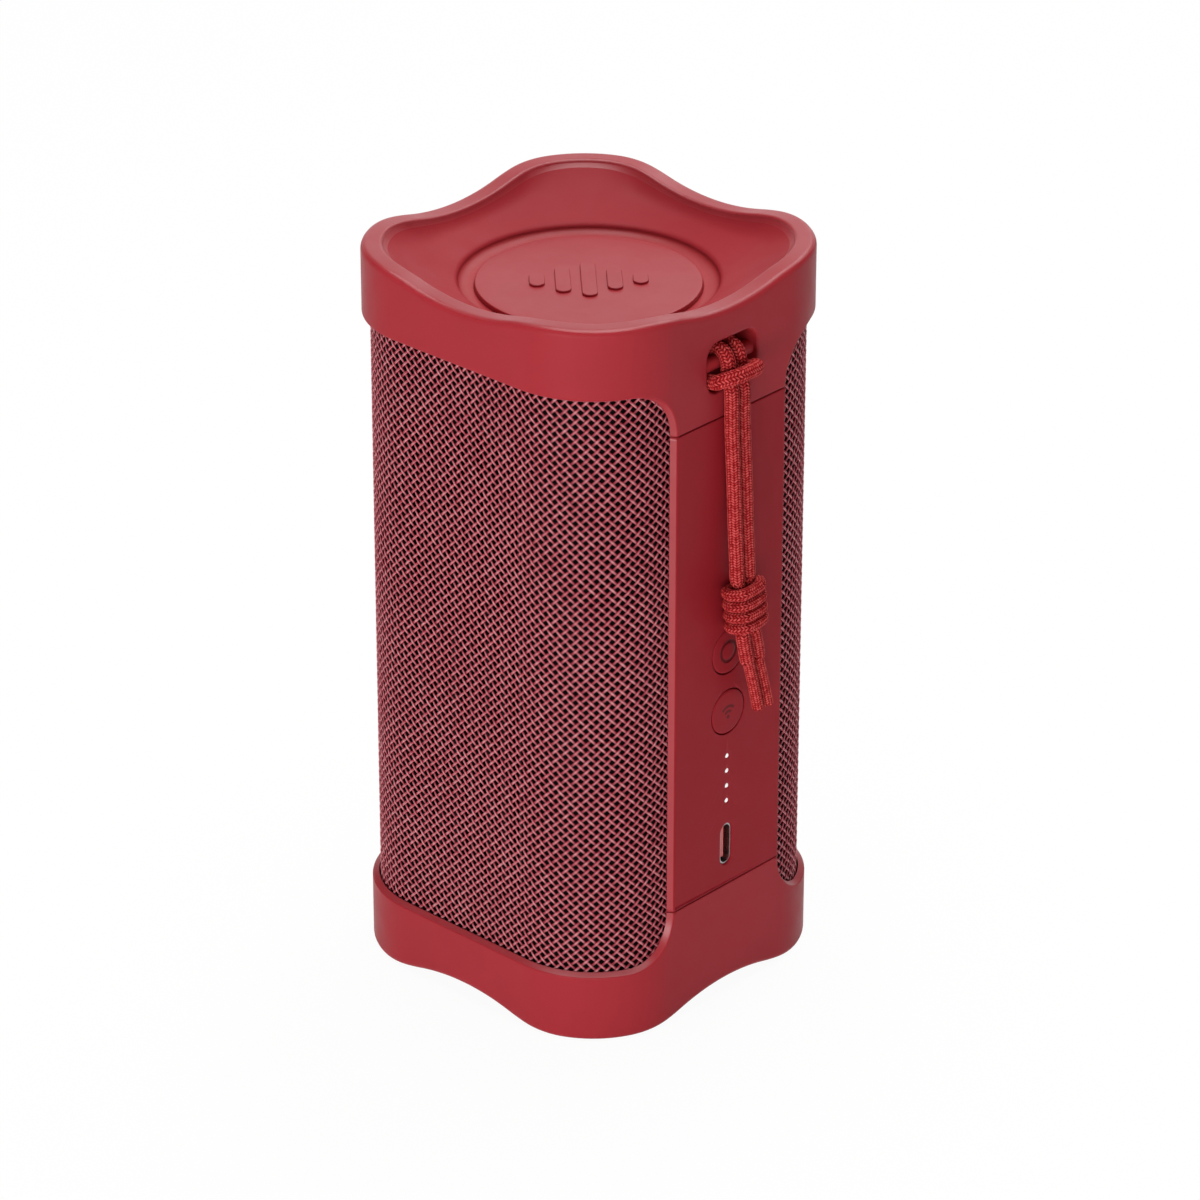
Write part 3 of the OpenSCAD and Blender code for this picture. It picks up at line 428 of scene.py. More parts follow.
def wave(t):
    """Depth of the dip in a rim, at a distance along a side from its middle."""
    t = abs(t)
    if t >= WAVE_HALF:
        return 0.0
    radius = (WAVE_HALF ** 2 + WAVE_DEPTH ** 2) / (4 * WAVE_DEPTH)
    if t < WAVE_HALF / 2:
        return WAVE_DEPTH - radius + math.sqrt(radius ** 2 - t ** 2)
    return radius - math.sqrt(radius ** 2 - (WAVE_HALF - t) ** 2)


def crest(x, y):
    return -max(wave(x), wave(y))


def bowl(radius):
    """Height of the bowl below the crests, at a distance from the axis."""
    centre = math.sqrt(BOWL_R ** 2 - LIP_R ** 2) - LIP_DROP
    return centre - math.sqrt(BOWL_R ** 2 - radius ** 2)


class Station:
    """A place on the outer skin, with its normal, its way along the skin and the cap's lower edge."""

    def __init__(self, place, normal, low, side, drop, edge):
        self.place = place
        self.normal = normal
        self.along = (-normal[1], normal[0])
        self.low = low
        self.side = side
        self.drop = drop
        self.edge = edge

    def mirrored(self, sx, sy):
        made = Station((self.place[0] * sx, self.place[1] * sy), (self.normal[0] * sx, self.normal[1] * sy),
                       self.low, self.side, self.drop, self.edge)
        made.along = (self.along[0] * sx, self.along[1] * sy)
        return made

    def at(self, shift, inset, z):
        return (self.place[0] - inset * self.normal[0] + shift * self.along[0],
                self.place[1] - inset * self.normal[1] + shift * self.along[1], z)


def skin_place(y):
    """Place and normal on the quarter of the skin beside the control panel, by its distance along Y."""
    if y <= CORNER_C:
        return (HALF, y), (1.0, 0.0)
    a = math.asin(min(1.0, (y - CORNER_C) / CORNER_R))
    return (CORNER_C + CORNER_R * math.cos(a), y), (math.cos(a), math.sin(a))


def quarter(window):
    """Stations from the middle of a panel to the middle of a grille."""
    found = []
    for i in range(STATION_COUNT):
        y = STATION_STEP * i if i < STATION_COUNT - 1 else LAST_STATION
        found.append(Station(*skin_place(y), -SEAM + SEAM_GAP, 0.0, -1.0, SEAM_EDGE))
    corner = [(s[0], w[0], w[1]) for s, w in zip(SEAM_EDGE, WINDOW_EDGE)]
    found.append(Station(*skin_place(PANEL_HALF), -SEAM + SEAM_GAP, 1.0, 0.0, corner))
    for a in arc(0, 90, 16):
        y = PANEL_HALF + STATION_GAP + WINDOW_R * (1 - math.cos(a))
        low = -window - WINDOW_R * (1 - math.sin(a))
        found.append(Station(*skin_place(y), low, math.cos(a), -math.sin(a), WINDOW_EDGE))
    start = math.degrees(math.asin((PANEL_HALF + WINDOW_R - CORNER_C) / CORNER_R))
    for a in arc(start, 90, 18)[1:]:
        place = (CORNER_C + CORNER_R * math.cos(a), CORNER_C + CORNER_R * math.sin(a))
        found.append(Station(place, (math.cos(a), math.sin(a)), -window, 0.0, -1.0, WINDOW_EDGE))
    flat_steps = 14
    for i in range(1, flat_steps + 1):
        place = (CORNER_C * (1 - i / flat_steps), HALF)
        found.append(Station(place, (0.0, 1.0), -window, 0.0, -1.0, WINDOW_EDGE))
    return found


def all_round(window):
    """Stations counter-clockwise round the body, from the middle of the control panel."""
    first = quarter(window)
    half = first + [s.mirrored(-1, 1) for s in first[::-1][1:]]
    return half + [s.mirrored(-1, -1) for s in half[1:-1]]


def cap_column(station):
    """Points of a cap at one station, from the foot of the lower edge over the rim to the lip."""
    found = []
    for step in station.edge:
        if len(step) == 3:
            found.append(station.at(step[1], step[2], station.low - step[0]))
        else:
            found.append(station.at(step[0] * station.side, step[1], station.low + step[0] * station.drop))
    last = station.edge[-1]
    shift = last[1] if len(last) == 3 else last[0] * station.side
    foot = found[-1][2]
    top = crest(*station.place) - RIM_OUTER_R
    for share in WALL_ROWS:
        found.append(station.at(shift * (1 - share), 0.0, foot + (top - foot) * share))
    for a in arc(0, 90, 6):
        x, y, _ = station.at(0.0, RIM_OUTER_R * (1 - math.cos(a)), 0.0)
        found.append((x, y, crest(x, y) - RIM_OUTER_R * (1 - math.sin(a))))
    for inset in RIM_FLAT:
        x, y, _ = station.at(0.0, inset, 0.0)
        found.append((x, y, crest(x, y)))
    for a in arc(0, 78, 6):
        x, y, _ = station.at(0.0, RIM_W - RIM_INNER_R * (1 - math.sin(a)), 0.0)
        found.append((x, y, crest(x, y) - RIM_INNER_R * (1 - math.cos(a))))
    x, y, edge = found[-1]
    reach = math.hypot(x, y)
    gap = edge - bowl(reach)
    for i in range(1, BOWL_STEPS + 1):
        share = i / BOWL_STEPS
        radius = reach + (LIP_R + LIP_EASE - reach) * share
        settle = max(0.0, 1 - share / SETTLE_SHARE) ** SETTLE_POWER
        found.append((x * radius / reach, y * radius / reach, bowl(radius) + gap * settle))
    for out, drop in LIP_EDGE:
        radius = LIP_R + out
        found.append((x * radius / reach, y * radius / reach, -LIP_DROP - drop))
    return found


def cap(name, window, recess):
    """A cap's outer skin, rim and bowl, built as the top cap and turned over for the bottom one."""
    made = Builder()
    stations = all_round(window)
    columns = [cap_column(s) for s in stations]
    rows = [made.add([column[j] for column in columns]) for j in range(len(columns[0]))]
    first_wall = len(WINDOW_EDGE)
    near = set()
    if recess:
        near = {i for i, s in enumerate(stations) if s.normal[0] > 0.99 and abs(s.place[1]) < RECESS_REACH}

    def skip(i, j):
        return j == first_wall and i in near and (i + 1) % len(stations) in near

    made.rows(rows, skip=skip, paint={j: CAP_SATIN for j in [*range(*RIM_ROWS), *EDGE_ROWS]})
    if recess:
        add_recess(made, rows[first_wall], rows[first_wall + 1], near)
    if name.startswith("top"):
        made.moved(lambda p: (p[0], p[1], p[2] + HEIGHT))
    else:
        made.moved(lambda p: (p[0], p[1], -p[2]))
        made.faces = [f[::-1] for f in made.faces]
    made.piece(name + "_shell", [MATERIALS["cap_soft_plastic"], RECESS_LIT, SATIN],
               replaces=[name], weighted=True)


def add_recess(made, lower, upper, near):
    """The recess around the cord's bar, in the flat part of the cap's skin."""
    count = len(lower)
    order = sorted(near, key=lambda i: i if i < count / 2 else i - count)
    frame_loop = [lower[i] for i in order] + [upper[i] for i in order[::-1]]
    rows = []
    for grow, depth in RECESS_EDGE:
        outline = rounded_rectangle(RECESS_W + 2 * grow, RECESS_H + 2 * grow, RECESS_R + grow)
        rows.append(made.add([(HALF - depth, y, BAR_Z - HEIGHT + z) for y, z in outline]))
    made.fill([frame_loop, rows[0]], "x")
    # The recess's inner walls and floor take that paler red, painted light against their shade
    made.rows(rows, paint={j: CAP_LIT_RECESS for j in RECESS_ROWS})
    made.face(rows[-1], CAP_LIT_RECESS)


cap("top_cap", TOP_WINDOW, True)
cap("bottom_cap", BOTTOM_WINDOW, False)


# Side panels

# How far the outline of a hole grows, by depth
HOLE_EDGE = [(0.16, 0.0), (0.06, 0.04), (0.0, 0.14), (0.0, 3.0)]
SLOT_EDGE = [(0.3, 0.0), (0.12, 0.05), (0.0, 0.22), (0.0, 3.0)]
# Height, width and length of the charging socket's opening
SOCKET_SLOT = (34.15, 3.46, 9.14)
LIGHTS = [43.9 + 3.32 * i for i in range(4)]
LIGHT_R = 0.5
LIGHT_HOLE_R = LIGHT_R + 0.08
# Radius and depth of a light's dome
LIGHT_DOME = [(LIGHT_R, 3.0), (LIGHT_R, 0.24), (0.9 * LIGHT_R, 0.17), (0.6 * LIGHT_R, 0.12)]


def panel(name, side, holes, slot_hole):
    """A flat moulding with bevelled sides.

    Holes are (height, radius), and the slot is (height, width, length).
    """
    made = Builder()
    low = SEAM + SEAM_GAP
    high = HEIGHT - SEAM - SEAM_GAP
    near = 0.7
    rings = []
    for (out, depth), (inward, _) in zip(WINDOW_EDGE[::-1], SEAM_EDGE[::-1]):
        w = PANEL_HALF + out
        z0 = low - inward
        z1 = high + inward
        ys = [-w, -w + near, 0.0, w - near]
        zs = [z0, z0 + near, (z0 + z1) / 2, z1 - near]
        outline = [(y, z0) for y in ys] + [(w, z) for z in zs] + [(-y, z1) for y in ys]
        outline += [(-w, z0 + z1 - z) for z in zs]
        rings.append(made.add([(HALF - depth, y, z) for y, z in outline]))
    made.rows(rings[::-1], paint={j: PANEL_SATIN for j in EDGE_ROWS})
    loops = [rings[0]]
    for z, radius in holes:
        rows = []
        for grow, depth in HOLE_EDGE:
            r = radius + grow
            rows.append(made.add([(HALF - depth, r * math.cos(a), z + r * math.sin(a)) for a in circle(64)]))
        loops.append(rows[0])
        made.rows(rows)
    if slot_hole is not None:
        z, width, length = slot_hole
        rows = []
        for grow, depth in SLOT_EDGE:
            outline = rounded_rectangle(width + 2 * grow, length + 2 * grow, width / 2 + grow - END_FLAT, 10)
            rows.append(made.add([(HALF - depth, y, z + h) for y, h in outline]))
        loops.append(rows[0])
        made.rows(rows)
    made.fill(loops, "x")
    if side < 0:
        made.moved(lambda p: (-p[0], -p[1], p[2]))
    made.piece(name + "_face", [MATERIALS["panel_plastic"], SATIN], replaces=[name],
               weighted=True)


def button_holes(*bodies):
    return [(BUTTON_Z[body], BUTTON_HOLE_R) for body in bodies]


light_holes = [(z, LIGHT_HOLE_R) for z in LIGHTS]
panel("control_panel", 1, button_holes("power", "pairing") + light_holes, SOCKET_SLOT)
panel("volume_panel", -1, button_holes("volume_up", "play", "volume_down"), None)


def charge_lights():
    """Four small domed lenses, a little below the panel's face."""
    made = Builder()
    for z in LIGHTS:
        rows = [made.add([(HALF - depth, r * math.cos(a), z + r * math.sin(a)) for a in circle(24)])
                for r, depth in LIGHT_DOME]
        made.rows(rows)
        made.face(rows[-1])
    made.piece("charge_light_lenses", [MATERIALS["lens_white"]], replaces=["light_lens"])


charge_lights()


# Buttons

# Distance in from the button's side, and height over its face
BUTTON_EDGE = [(0.0, -5.4), (0.0, -0.32), (0.08, -0.12), (0.25, -0.03), (0.55, 0.0)]
# Radius and height of the sunk power ring, and the rows of it that are printed
POWER_RING = [(2.55, 0.0), (2.47, -0.03), (2.42, -0.12), (1.78, -0.12), (1.73, -0.03), (1.65, 0.0)]
POWER_ROWS = (6, 7, 8)
BUTTON_MIDDLE_R = 0.9
MARK_PRINT = 1
MARK_W = 0.55
MARK_LIFT = 0.012
MARK_REACH = 1.6
DOT_R = 0.42
# Place of the pairing sign's dot under the middle, and the radii of its arcs
PAIRING_DOT = (0.0, -1.2)
PAIRING_ARCS = (1.2, 2.3)


def strip(made, points, width, lift):
    """A flat line of print on a button's face, drawn in Y and Z."""
    left = []
    right = []
    for i, (y, z) in enumerate(points):
        y0, z0 = points[max(0, i - 1)]
        y1, z1 = points[min(len(points) - 1, i + 1)]
        length = math.hypot(y1 - y0, z1 - z0)
        ny = -(z1 - z0) / length * width / 2
        nz = (y1 - y0) / length * width / 2
        left.append((HALF + lift, y + ny, z + nz))
        right.append((HALF + lift, y - ny, z - nz))
    made.rows([made.add(left), made.add(right)], closed=False, flip=True, paint={0: MARK_PRINT})


def button(body, side, ring, lines, dot=None):
    """A button of a panel: its turned face, with a sunk ring or with printed lines and a dot."""
    name = body + "_button"
    z = BUTTON_Z[body]
    made = Builder()
    profile = [(BUTTON_R - inset, x) for inset, x in BUTTON_EDGE]
    paint = {}
    if ring:
        profile += POWER_RING
        paint = {j: MARK_PRINT for j in POWER_ROWS}
    profile += [(BUTTON_MIDDLE_R, 0.0)]
    rows = [made.add([(HALF + x, r * math.cos(a), z + r * math.sin(a)) for a in circle(64)])
            for r, x in profile]
    made.rows(rows, paint=paint)
    made.face(rows[-1])
    for points in lines:
        strip(made, [(y, z + h) for y, h in points], MARK_W, MARK_LIFT)
    if dot is not None:
        first = made.add([(HALF + MARK_LIFT, dot[0] + DOT_R * math.cos(a), z + dot[1] + DOT_R * math.sin(a))
                          for a in circle(20)])
        made.face(first, MARK_PRINT)
    if side < 0:
        made.moved(lambda p: (-p[0], -p[1], p[2]))
    made.piece(name + "_key", [MATERIALS["panel_plastic"], MARKS], body=body,
               replaces=[name], weighted=True)


def sign_arc(radius):
    y, z = PAIRING_DOT
    return [(y + radius * math.cos(a), z + radius * math.sin(a)) for a in arc(45, 135, 10)]


level = [(-MARK_REACH, 0.0), (MARK_REACH, 0.0)]
upright = [(0.0, -MARK_REACH), (0.0, MARK_REACH)]
play_low, play_high, play_tip = (-1.1, -MARK_REACH), (-1.1, MARK_REACH), (1.7, 0.0)
button("power", 1, True, [])
button("pairing", 1, False, [sign_arc(radius) for radius in PAIRING_ARCS], PAIRING_DOT)
button("volume_up", -1, False, [level, upright])
button("play", -1, False, [[play_low, play_high], [play_high, play_tip], [play_tip, play_low]])
button("volume_down", -1, False, [level])


# Radiators

# Radius and drop of the disc's side, edge and face
DISC_PROFILE = [(DISC_R, DISC_DROP + 3.2), (DISC_R, DISC_DROP + 0.28), (DISC_R - 0.07, DISC_DROP + 0.1),
                (DISC_R - 0.28, DISC_DROP), (DISC_R - 2.0, DISC_DROP), (4.0, DISC_DROP)]
# The rubber roll between the disc and the lip
ROLL_INNER = DISC_R + 0.02
ROLL_W = 3.2
ROLL_FOOT = DISC_DROP + 1.0
ROLL_RISE = 1.35
ROLL_T = 0.55


def turned(made, profile, height, up, steps=128):
    """A profile of (radius, drop), turned about a vertical axis."""
    rows = []
    for radius, drop in profile:
        z = height - drop if up else height + drop
        rows.append(made.add([(radius * math.cos(a), radius * math.sin(a), z) for a in circle(steps)]))
    made.rows(rows, flip=not up)
    return rows


def radiator(end):
    """A radiator's disc, and the rubber roll that stretches between it and the cap."""
    up = end == "top"
    height = HEIGHT if up else 0.0
    body = end + "_radiator"
    made = Builder()
    rows = turned(made, DISC_PROFILE, height, up)
    made.face(rows[-1] if up else rows[-1][::-1])
    made.piece(end + "_disc_face", [MATERIALS["disc_plastic"]], body=body,
               replaces=[end + "_disc"], weighted=True)
    made = Builder()
    upper = [(ROLL_INNER + ROLL_W * math.sin(a), ROLL_FOOT - ROLL_RISE * (1 - math.cos(a)))
             for a in arc(90, 0, 16)]
    lower = [(r, drop + ROLL_T) for r, drop in upper[::-1]]
    turned(made, upper + lower + upper[:1], height, up)
    ring = made.piece(end + "_surround_roll", [MATERIALS["radiator_rubber"]],
                      ride=False)
    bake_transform(ring)
    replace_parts(ring, end + "_surround")


radiator("top")
radiator("bottom")


# Lengths of the emblem's bars, their width and pitch
EMBLEM_BARS = (6, 12, 16, 10, 5)
EMBLEM_W = 3
EMBLEM_PITCH = 5
# Distance in from a bar's side, and height over its foot
EMBLEM_EDGE = [(0.0, 0.0), (0.0, 0.34), (0.06, 0.45), (0.18, 0.52)]
# A bar's foot lies this far inside the disc
EMBLEM_SINK = 0.02


def emblem():
    """Plain sound-level bars with soft edges on the upper disc."""
    made = Builder()
    base = HEIGHT - DISC_DROP - EMBLEM_SINK
    turn = Matrix.Rotation(math.radians(45), 2)
    for i, length in enumerate(EMBLEM_BARS):
        rows = []
        for inset, z in EMBLEM_EDGE:
            radius = EMBLEM_W / 2 - inset - END_FLAT
            outline = rounded_rectangle(EMBLEM_W - 2 * inset, length - 2 * inset, radius, 10)
            placed = [turn @ Vector((x + (i - len(EMBLEM_BARS) // 2) * EMBLEM_PITCH, y)) for x, y in outline]
            rows.append(made.add([(p.x, p.y, base + z) for p in placed]))
        made.rows(rows)
        made.face(rows[-1])
    made.piece("emblem_bars", [MATERIALS["disc_plastic"]], body="top_radiator",
               replaces=["top_emblem"], weighted=True)


emblem()


# Drivers

DRIVER_FACE = 28.8
DRIVER_Z = 103.0
# Half a roll of rubber: its middle, its height over the flange, and its radius outside and inside
DRIVER_ROLL_C = 17.6
DRIVER_ROLL_Z = 0.1
DRIVER_ROLL_R = 1.5
DRIVER_ROLL_IN = 1.0
# Angle at which the roll meets its foot, the foot's radius and thickness, and the leg's drop
DRIVER_FOOT_ANGLE = 19.5
DRIVER_FOOT_R = 19.7
DRIVER_FOOT_T = 0.5
DRIVER_LEG_DROP = 0.5
# The rippled cloth: its inner radius, width, drop, ripple and thickness
SPIDER_R = 8.0
SPIDER_W = 5.9
SPIDER_STEPS = 6
SPIDER_DROP = 7.9
SPIDER_RIPPLE = 0.6
SPIDER_T = 0.4


def driver_roll():
    """Half a roll of rubber with a leg on the cone and a foot on the basket, as (radius, drop)."""
    def bend(radius, start, end):
        return [(DRIVER_ROLL_C + radius * math.cos(a), -DRIVER_ROLL_Z - radius * math.sin(a))
                for a in arc(start, end, 18)]

    leg = [(DRIVER_ROLL_C - radius, DRIVER_LEG_DROP) for radius in (DRIVER_ROLL_R, DRIVER_ROLL_IN)]
    foot = [(DRIVER_FOOT_R, -DRIVER_ROLL_Z), (DRIVER_FOOT_R, -DRIVER_ROLL_Z - DRIVER_FOOT_T)]
    return bend(DRIVER_ROLL_R, DRIVER_FOOT_ANGLE, 180) + leg + bend(DRIVER_ROLL_IN, 180, 0) + foot


def spider_ripples():
    """A rippled cloth ring from the coil to the basket's ledge, as (radius, drop)."""
    lower = [(SPIDER_R + SPIDER_W * i / SPIDER_STEPS, SPIDER_DROP - SPIDER_RIPPLE * (i % 2))
             for i in range(SPIDER_STEPS + 1)]
    return [(r, drop - SPIDER_T) for r, drop in lower[::-1]] + lower


def driver_ring(end, name, profile, slot, stands_for):
    """A turned ring whose outer edge stays on the basket while its inner edge follows the cone."""
    side = -1 if end == "front" else 1
    made = Builder()
    turned(made, profile + profile[:1], 0.0, True, 96)
    made.moved(lambda p: (p[0], side * (DRIVER_FACE + p[2]), DRIVER_Z - side * p[1]))
    ring = made.piece(end + "_" + name, [MATERIALS[slot]], ride=False)
    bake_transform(ring)
    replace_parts(ring, end + stands_for)


for end in ("front", "rear"):
    driver_ring(end, "driver_roll", driver_roll(), "driver_rubber",
                "_driver_surround")
    driver_ring(end, "spider_cloth", spider_ripples(), "spider_cloth",
                "_spider")


# Woven grilles

WEAVE_PITCH = 1.4215
WEAVE_ANGLE = math.radians(45.0)
WEAVE_RISE = 0.11
SKIN_DEPTH = 1.77
SKIN_END_Y = 14.2
SKIN_Z = (12.3, 140.7)
# Points across a tape: sideways, and outwards
TAPE = [(-0.265, -0.08), (-0.135, 0.07), (0.0, 0.01), (0.135, 0.07), (0.265, -0.08)]
# Tones across a falling (1) and a rising (-1) tape, seen from outside: two filaments each, one of them pale
# as a painted highlight, with edges of painted shade
TAPE_SHADE_AND_HIGHLIGHT = {1: [0.0, 0.88, 0.3, 0.6, 0.0], -1: [0.0, 0.76, 0.28, 0.58, 0.0]}
# How the tone varies from tape to tape and along a tape, at random, and with the height of the tape: lighter
# over and darker under, which is painted light and shade
TAPE_SPREAD = 0.05
TAPE_JITTER = 0.09
TAPE_LIFT_LIGHT = 2.4
WEAVE_SEEDS = {1: 7, -1: 11}


def skin_point(s, z, lift):
    """Point on the front skin, by distance along it from its end beside the control panel."""
    radius = CORNER_R - SKIN_DEPTH
    flat = CORNER_C - SKIN_END_Y
    turn = radius * math.pi / 2
    lengths = [flat, turn, 2 * CORNER_C, turn, flat]
    if s < lengths[0]:
        x, y, nx, ny = HALF - SKIN_DEPTH, -SKIN_END_Y - s, 1.0, 0.0
    elif s < sum(lengths[:2]):
        a = (s - lengths[0]) / radius
        nx, ny = math.cos(a), -math.sin(a)
        x, y = CORNER_C + radius * nx, -CORNER_C + radius * ny
    elif s < sum(lengths[:3]):
        x, y, nx, ny = CORNER_C - (s - sum(lengths[:2])), -HALF + SKIN_DEPTH, 0.0, -1.0
    elif s < sum(lengths[:4]):
        a = (s - sum(lengths[:3])) / radius
        nx, ny = -math.sin(a), -math.cos(a)
        x, y = -CORNER_C + radius * nx, -CORNER_C + radius * ny
    else:
        x, y, nx, ny = -HALF + SKIN_DEPTH, -CORNER_C + (s - sum(lengths[:4])), -1.0, 0.0
    return (x + lift * nx, y + lift * ny, z)


SKIN_LENGTH = 2 * (CORNER_C - SKIN_END_Y) + math.pi * (CORNER_R - SKIN_DEPTH) + 2 * CORNER_C


def clipped(origin, direction):
    """First and last place on a line inside the skin's rectangle, or None."""
    low, high = -1e9, 1e9
    for o, d, a, b in ((origin[0], direction[0], 0.0, SKIN_LENGTH), (origin[1], direction[1], *SKIN_Z)):
        t0, t1 = sorted(((a - o) / d, (b - o) / d))
        low, high = max(low, t0), min(high, t1)
    return (low, high) if high - low > WEAVE_PITCH else None


def weave(name, sign, turned_round):
    """All the tapes of one direction, which pass over and under those of the other one by turns."""
    made = Builder()
    tone_and_light_values = []
    chance = random.Random(WEAVE_SEEDS[sign])
    way = (math.cos(WEAVE_ANGLE), sign * math.sin(WEAVE_ANGLE))
    across = (-way[1], way[0])
    other = (sign * math.sin(WEAVE_ANGLE), math.cos(WEAVE_ANGLE))
    rate = (other[0] * way[0] + other[1] * way[1]) / WEAVE_PITCH
    span = int((SKIN_LENGTH + HEIGHT) / WEAVE_PITCH) + 2
    for k in range(-span, span):
        origin = (across[0] * k * WEAVE_PITCH, across[1] * k * WEAVE_PITCH)
        ends = clipped(origin, way)
        if ends is None:
            continue
        start = (other[0] * origin[0] + other[1] * origin[1]) / WEAVE_PITCH
        q0, q1 = sorted((start + rate * ends[0], start + rate * ends[1]))
        steps = [n / 2 for n in range(math.ceil(q0 * 2), math.floor(q1 * 2) + 1)]
        own = chance.uniform(-TAPE_SPREAD, TAPE_SPREAD)
        rows = []
        for q in steps:
            t = (q - start) / rate
            s, z = origin[0] + way[0] * t, origin[1] + way[1] * t
            lift = sign * WEAVE_RISE * math.cos(math.pi * (q + k))
            jitter = chance.uniform(-TAPE_JITTER, TAPE_JITTER)
            row = []
            # Tone: painted shade at the tape's edges and where it passes under, painted highlight on its
            # pale filament and where it passes over, and random spread
            for (a, b), tone_and_light in zip(TAPE, TAPE_SHADE_AND_HIGHLIGHT[sign]):
                row.append(skin_point(s + across[0] * a, z + across[1] * a, lift + b))
                tone_and_light_values.append(min(1.0, max(0.0, tone_and_light + own + jitter + TAPE_LIFT_LIGHT * lift)))
            rows.append(made.add(row))
        made.rows(rows, flip=sign < 0)
    if turned_round:
        made.moved(lambda p: (-p[0], -p[1], p[2]))
    obj = made.piece(name, [WEAVE])
    obj.data.attributes.new("tone_and_light", "FLOAT", "POINT").data.foreach_set("value", tone_and_light_values)
    return obj


for end, turned_round in (("front", False), ("rear", True)):
    weave(end + "_weave_falling", 1, turned_round)
    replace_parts(weave(end + "_weave_rising", -1, turned_round), end + "_mesh")


# Cord

BRAID_ENDS = 12
BRAID_R = 1.36
BRAID_RISE = 0.055
BRAID_LAY = math.atan(0.75)
BRAID_STEP = 0.18
# Points across a thread, sideways and outwards, and their tones, low at the edges for painted shade in the
# gaps between threads
THREAD = [(-0.24, -0.08), (-0.12, 0.07), (0.12, 0.07), (0.24, -0.08)]
THREAD_EDGE_SHADE = [0.0, 0.5, 0.5, 0.0]
# How the tone varies from thread to thread and along a thread, at random, and with the height of the thread:
# paler on the crowns, a painted highlight, and darker where it dips, painted shade
THREAD_SPREAD = 0.12
THREAD_JITTER = 0.12
THREAD_LIFT_LIGHT = 8.0
CORE_R = BRAID_R - 0.1
CORE_POINTS = 12
# The core's low tone is painted shade where it shows between the threads
CORE_SHADE = 0.1
# Half the distance between the two sides of the cord
STRAND_HALF = CORD_R + 0.1
BAR_R = 1.4
LOOP_R = BAR_R + CORD_R + 0.1
# The loop's two sides part after this share of their way round the bar, to this distance
LOOP_APART = 0.42
LOOP_END = 4.75
LOOP_STEPS = 14
LOOP_TURN = 270
# Places on the bight: out from the panel's face, sideways, and over the loop's lowest point
BIGHT = [(0.6, 4.8, 0.4), (2.0, 4.6, 1.2), (3.4, 3.4, 1.8), (4.1, 1.7, 2.1)]
# Places on the hanging cord: out from the panel's face, sideways, and down from the bar
HANG = [(0.7, -0.4, 0.5), (0.7, -0.4, 1.3), (1.05, -0.4, 3.3), (1.65, -0.4, 5.4), (1.7, -0.35, 10.0),
        (1.75, -0.25, 14.0), (1.95, -0.15, 19.0), (2.35, -0.15, 26.0), (2.85, -0.35, 33.0),
        (3.3, -0.42, 39.0), (3.65, -0.45, 44.2), (3.8, -0.5, 45.3), (3.8, 0.1, 50.0), (3.8, 0.85, 55.5),
        (3.8, 1.3, 57.0), (3.87, 2.42, 62.2), (3.9, 2.65, 63.2), (4.05, 4.2, 69.0), (4.25, 5.35, 74.1)]
KNOT_FIRST, KNOT_AT, KNOT_LAST = 11, 12, 13
KNOT_TURNS = 4
KNOT_R = CORD_R - 0.3
# Angles at which the winding starts and ends, the second past its last full turn
KNOT_FROM = 112
KNOT_PAST = 11
KNOT_STEP = 15
# Gaps from the winding to the sides inside it, and between its turns
KNOT_GAP = 0.08
KNOT_TURN_GAP = 0.1
SQUEEZED_R = CORD_R - 0.35
SQUEEZED_HALF = SQUEEZED_R + 0.05
TAIL_FROM = 16
TAIL_R = CORD_R - 0.3
TAIL_HALF = TAIL_R + 0.2
# Distances below the bar where the cord gets thinner or thicker, and the lengths over which it does
SQUEEZE_IN = (44.2, 1.0)
SQUEEZE_OUT = (55.5, 1.1)
TAIL_STEP = (62.5, 0.7)


def smooth_path(points, step):
    """Points a step apart on a smooth curve through the given ones."""
    points = [Vector(p) for p in points]
    parts = 24
    dense = []
    for i in range(len(points) - 1):
        a, b = points[max(0, i - 1)], points[i]
        c, d = points[i + 1], points[min(len(points) - 1, i + 2)]
        for n in range(parts):
            t = n / parts
            dense.append(0.5 * (2 * b + (c - a) * t + (2 * a - 5 * b + 4 * c - d) * t ** 2
                                + (3 * b - a - 3 * c + d) * t ** 3))
    dense.append(points[-1])
    lengths = [0.0]
    for a, b in zip(dense, dense[1:]):
        lengths.append(lengths[-1] + (b - a).length)
    count = max(2, round(lengths[-1] / step))
    found = []
    at = 0
    for n in range(count + 1):
        goal = lengths[-1] * n / count
        while at < len(lengths) - 2 and lengths[at + 1] < goal:
            at += 1
        share = (goal - lengths[at]) / max(1e-9, lengths[at + 1] - lengths[at])
        found.append(dense[at].lerp(dense[at + 1], share))
    return found, lengths[-1]


def frames(path, side):
    """Two directions square to the path at each point, carried along without twist."""
    found = []
    u = Vector(side)
    for i in range(len(path)):
        tangent = (path[min(i + 1, len(path) - 1)] - path[max(i - 1, 0)]).normalized()
        u = (u - u.dot(tangent) * tangent).normalized()
        found.append((u.copy(), tangent.cross(u)))
    return found


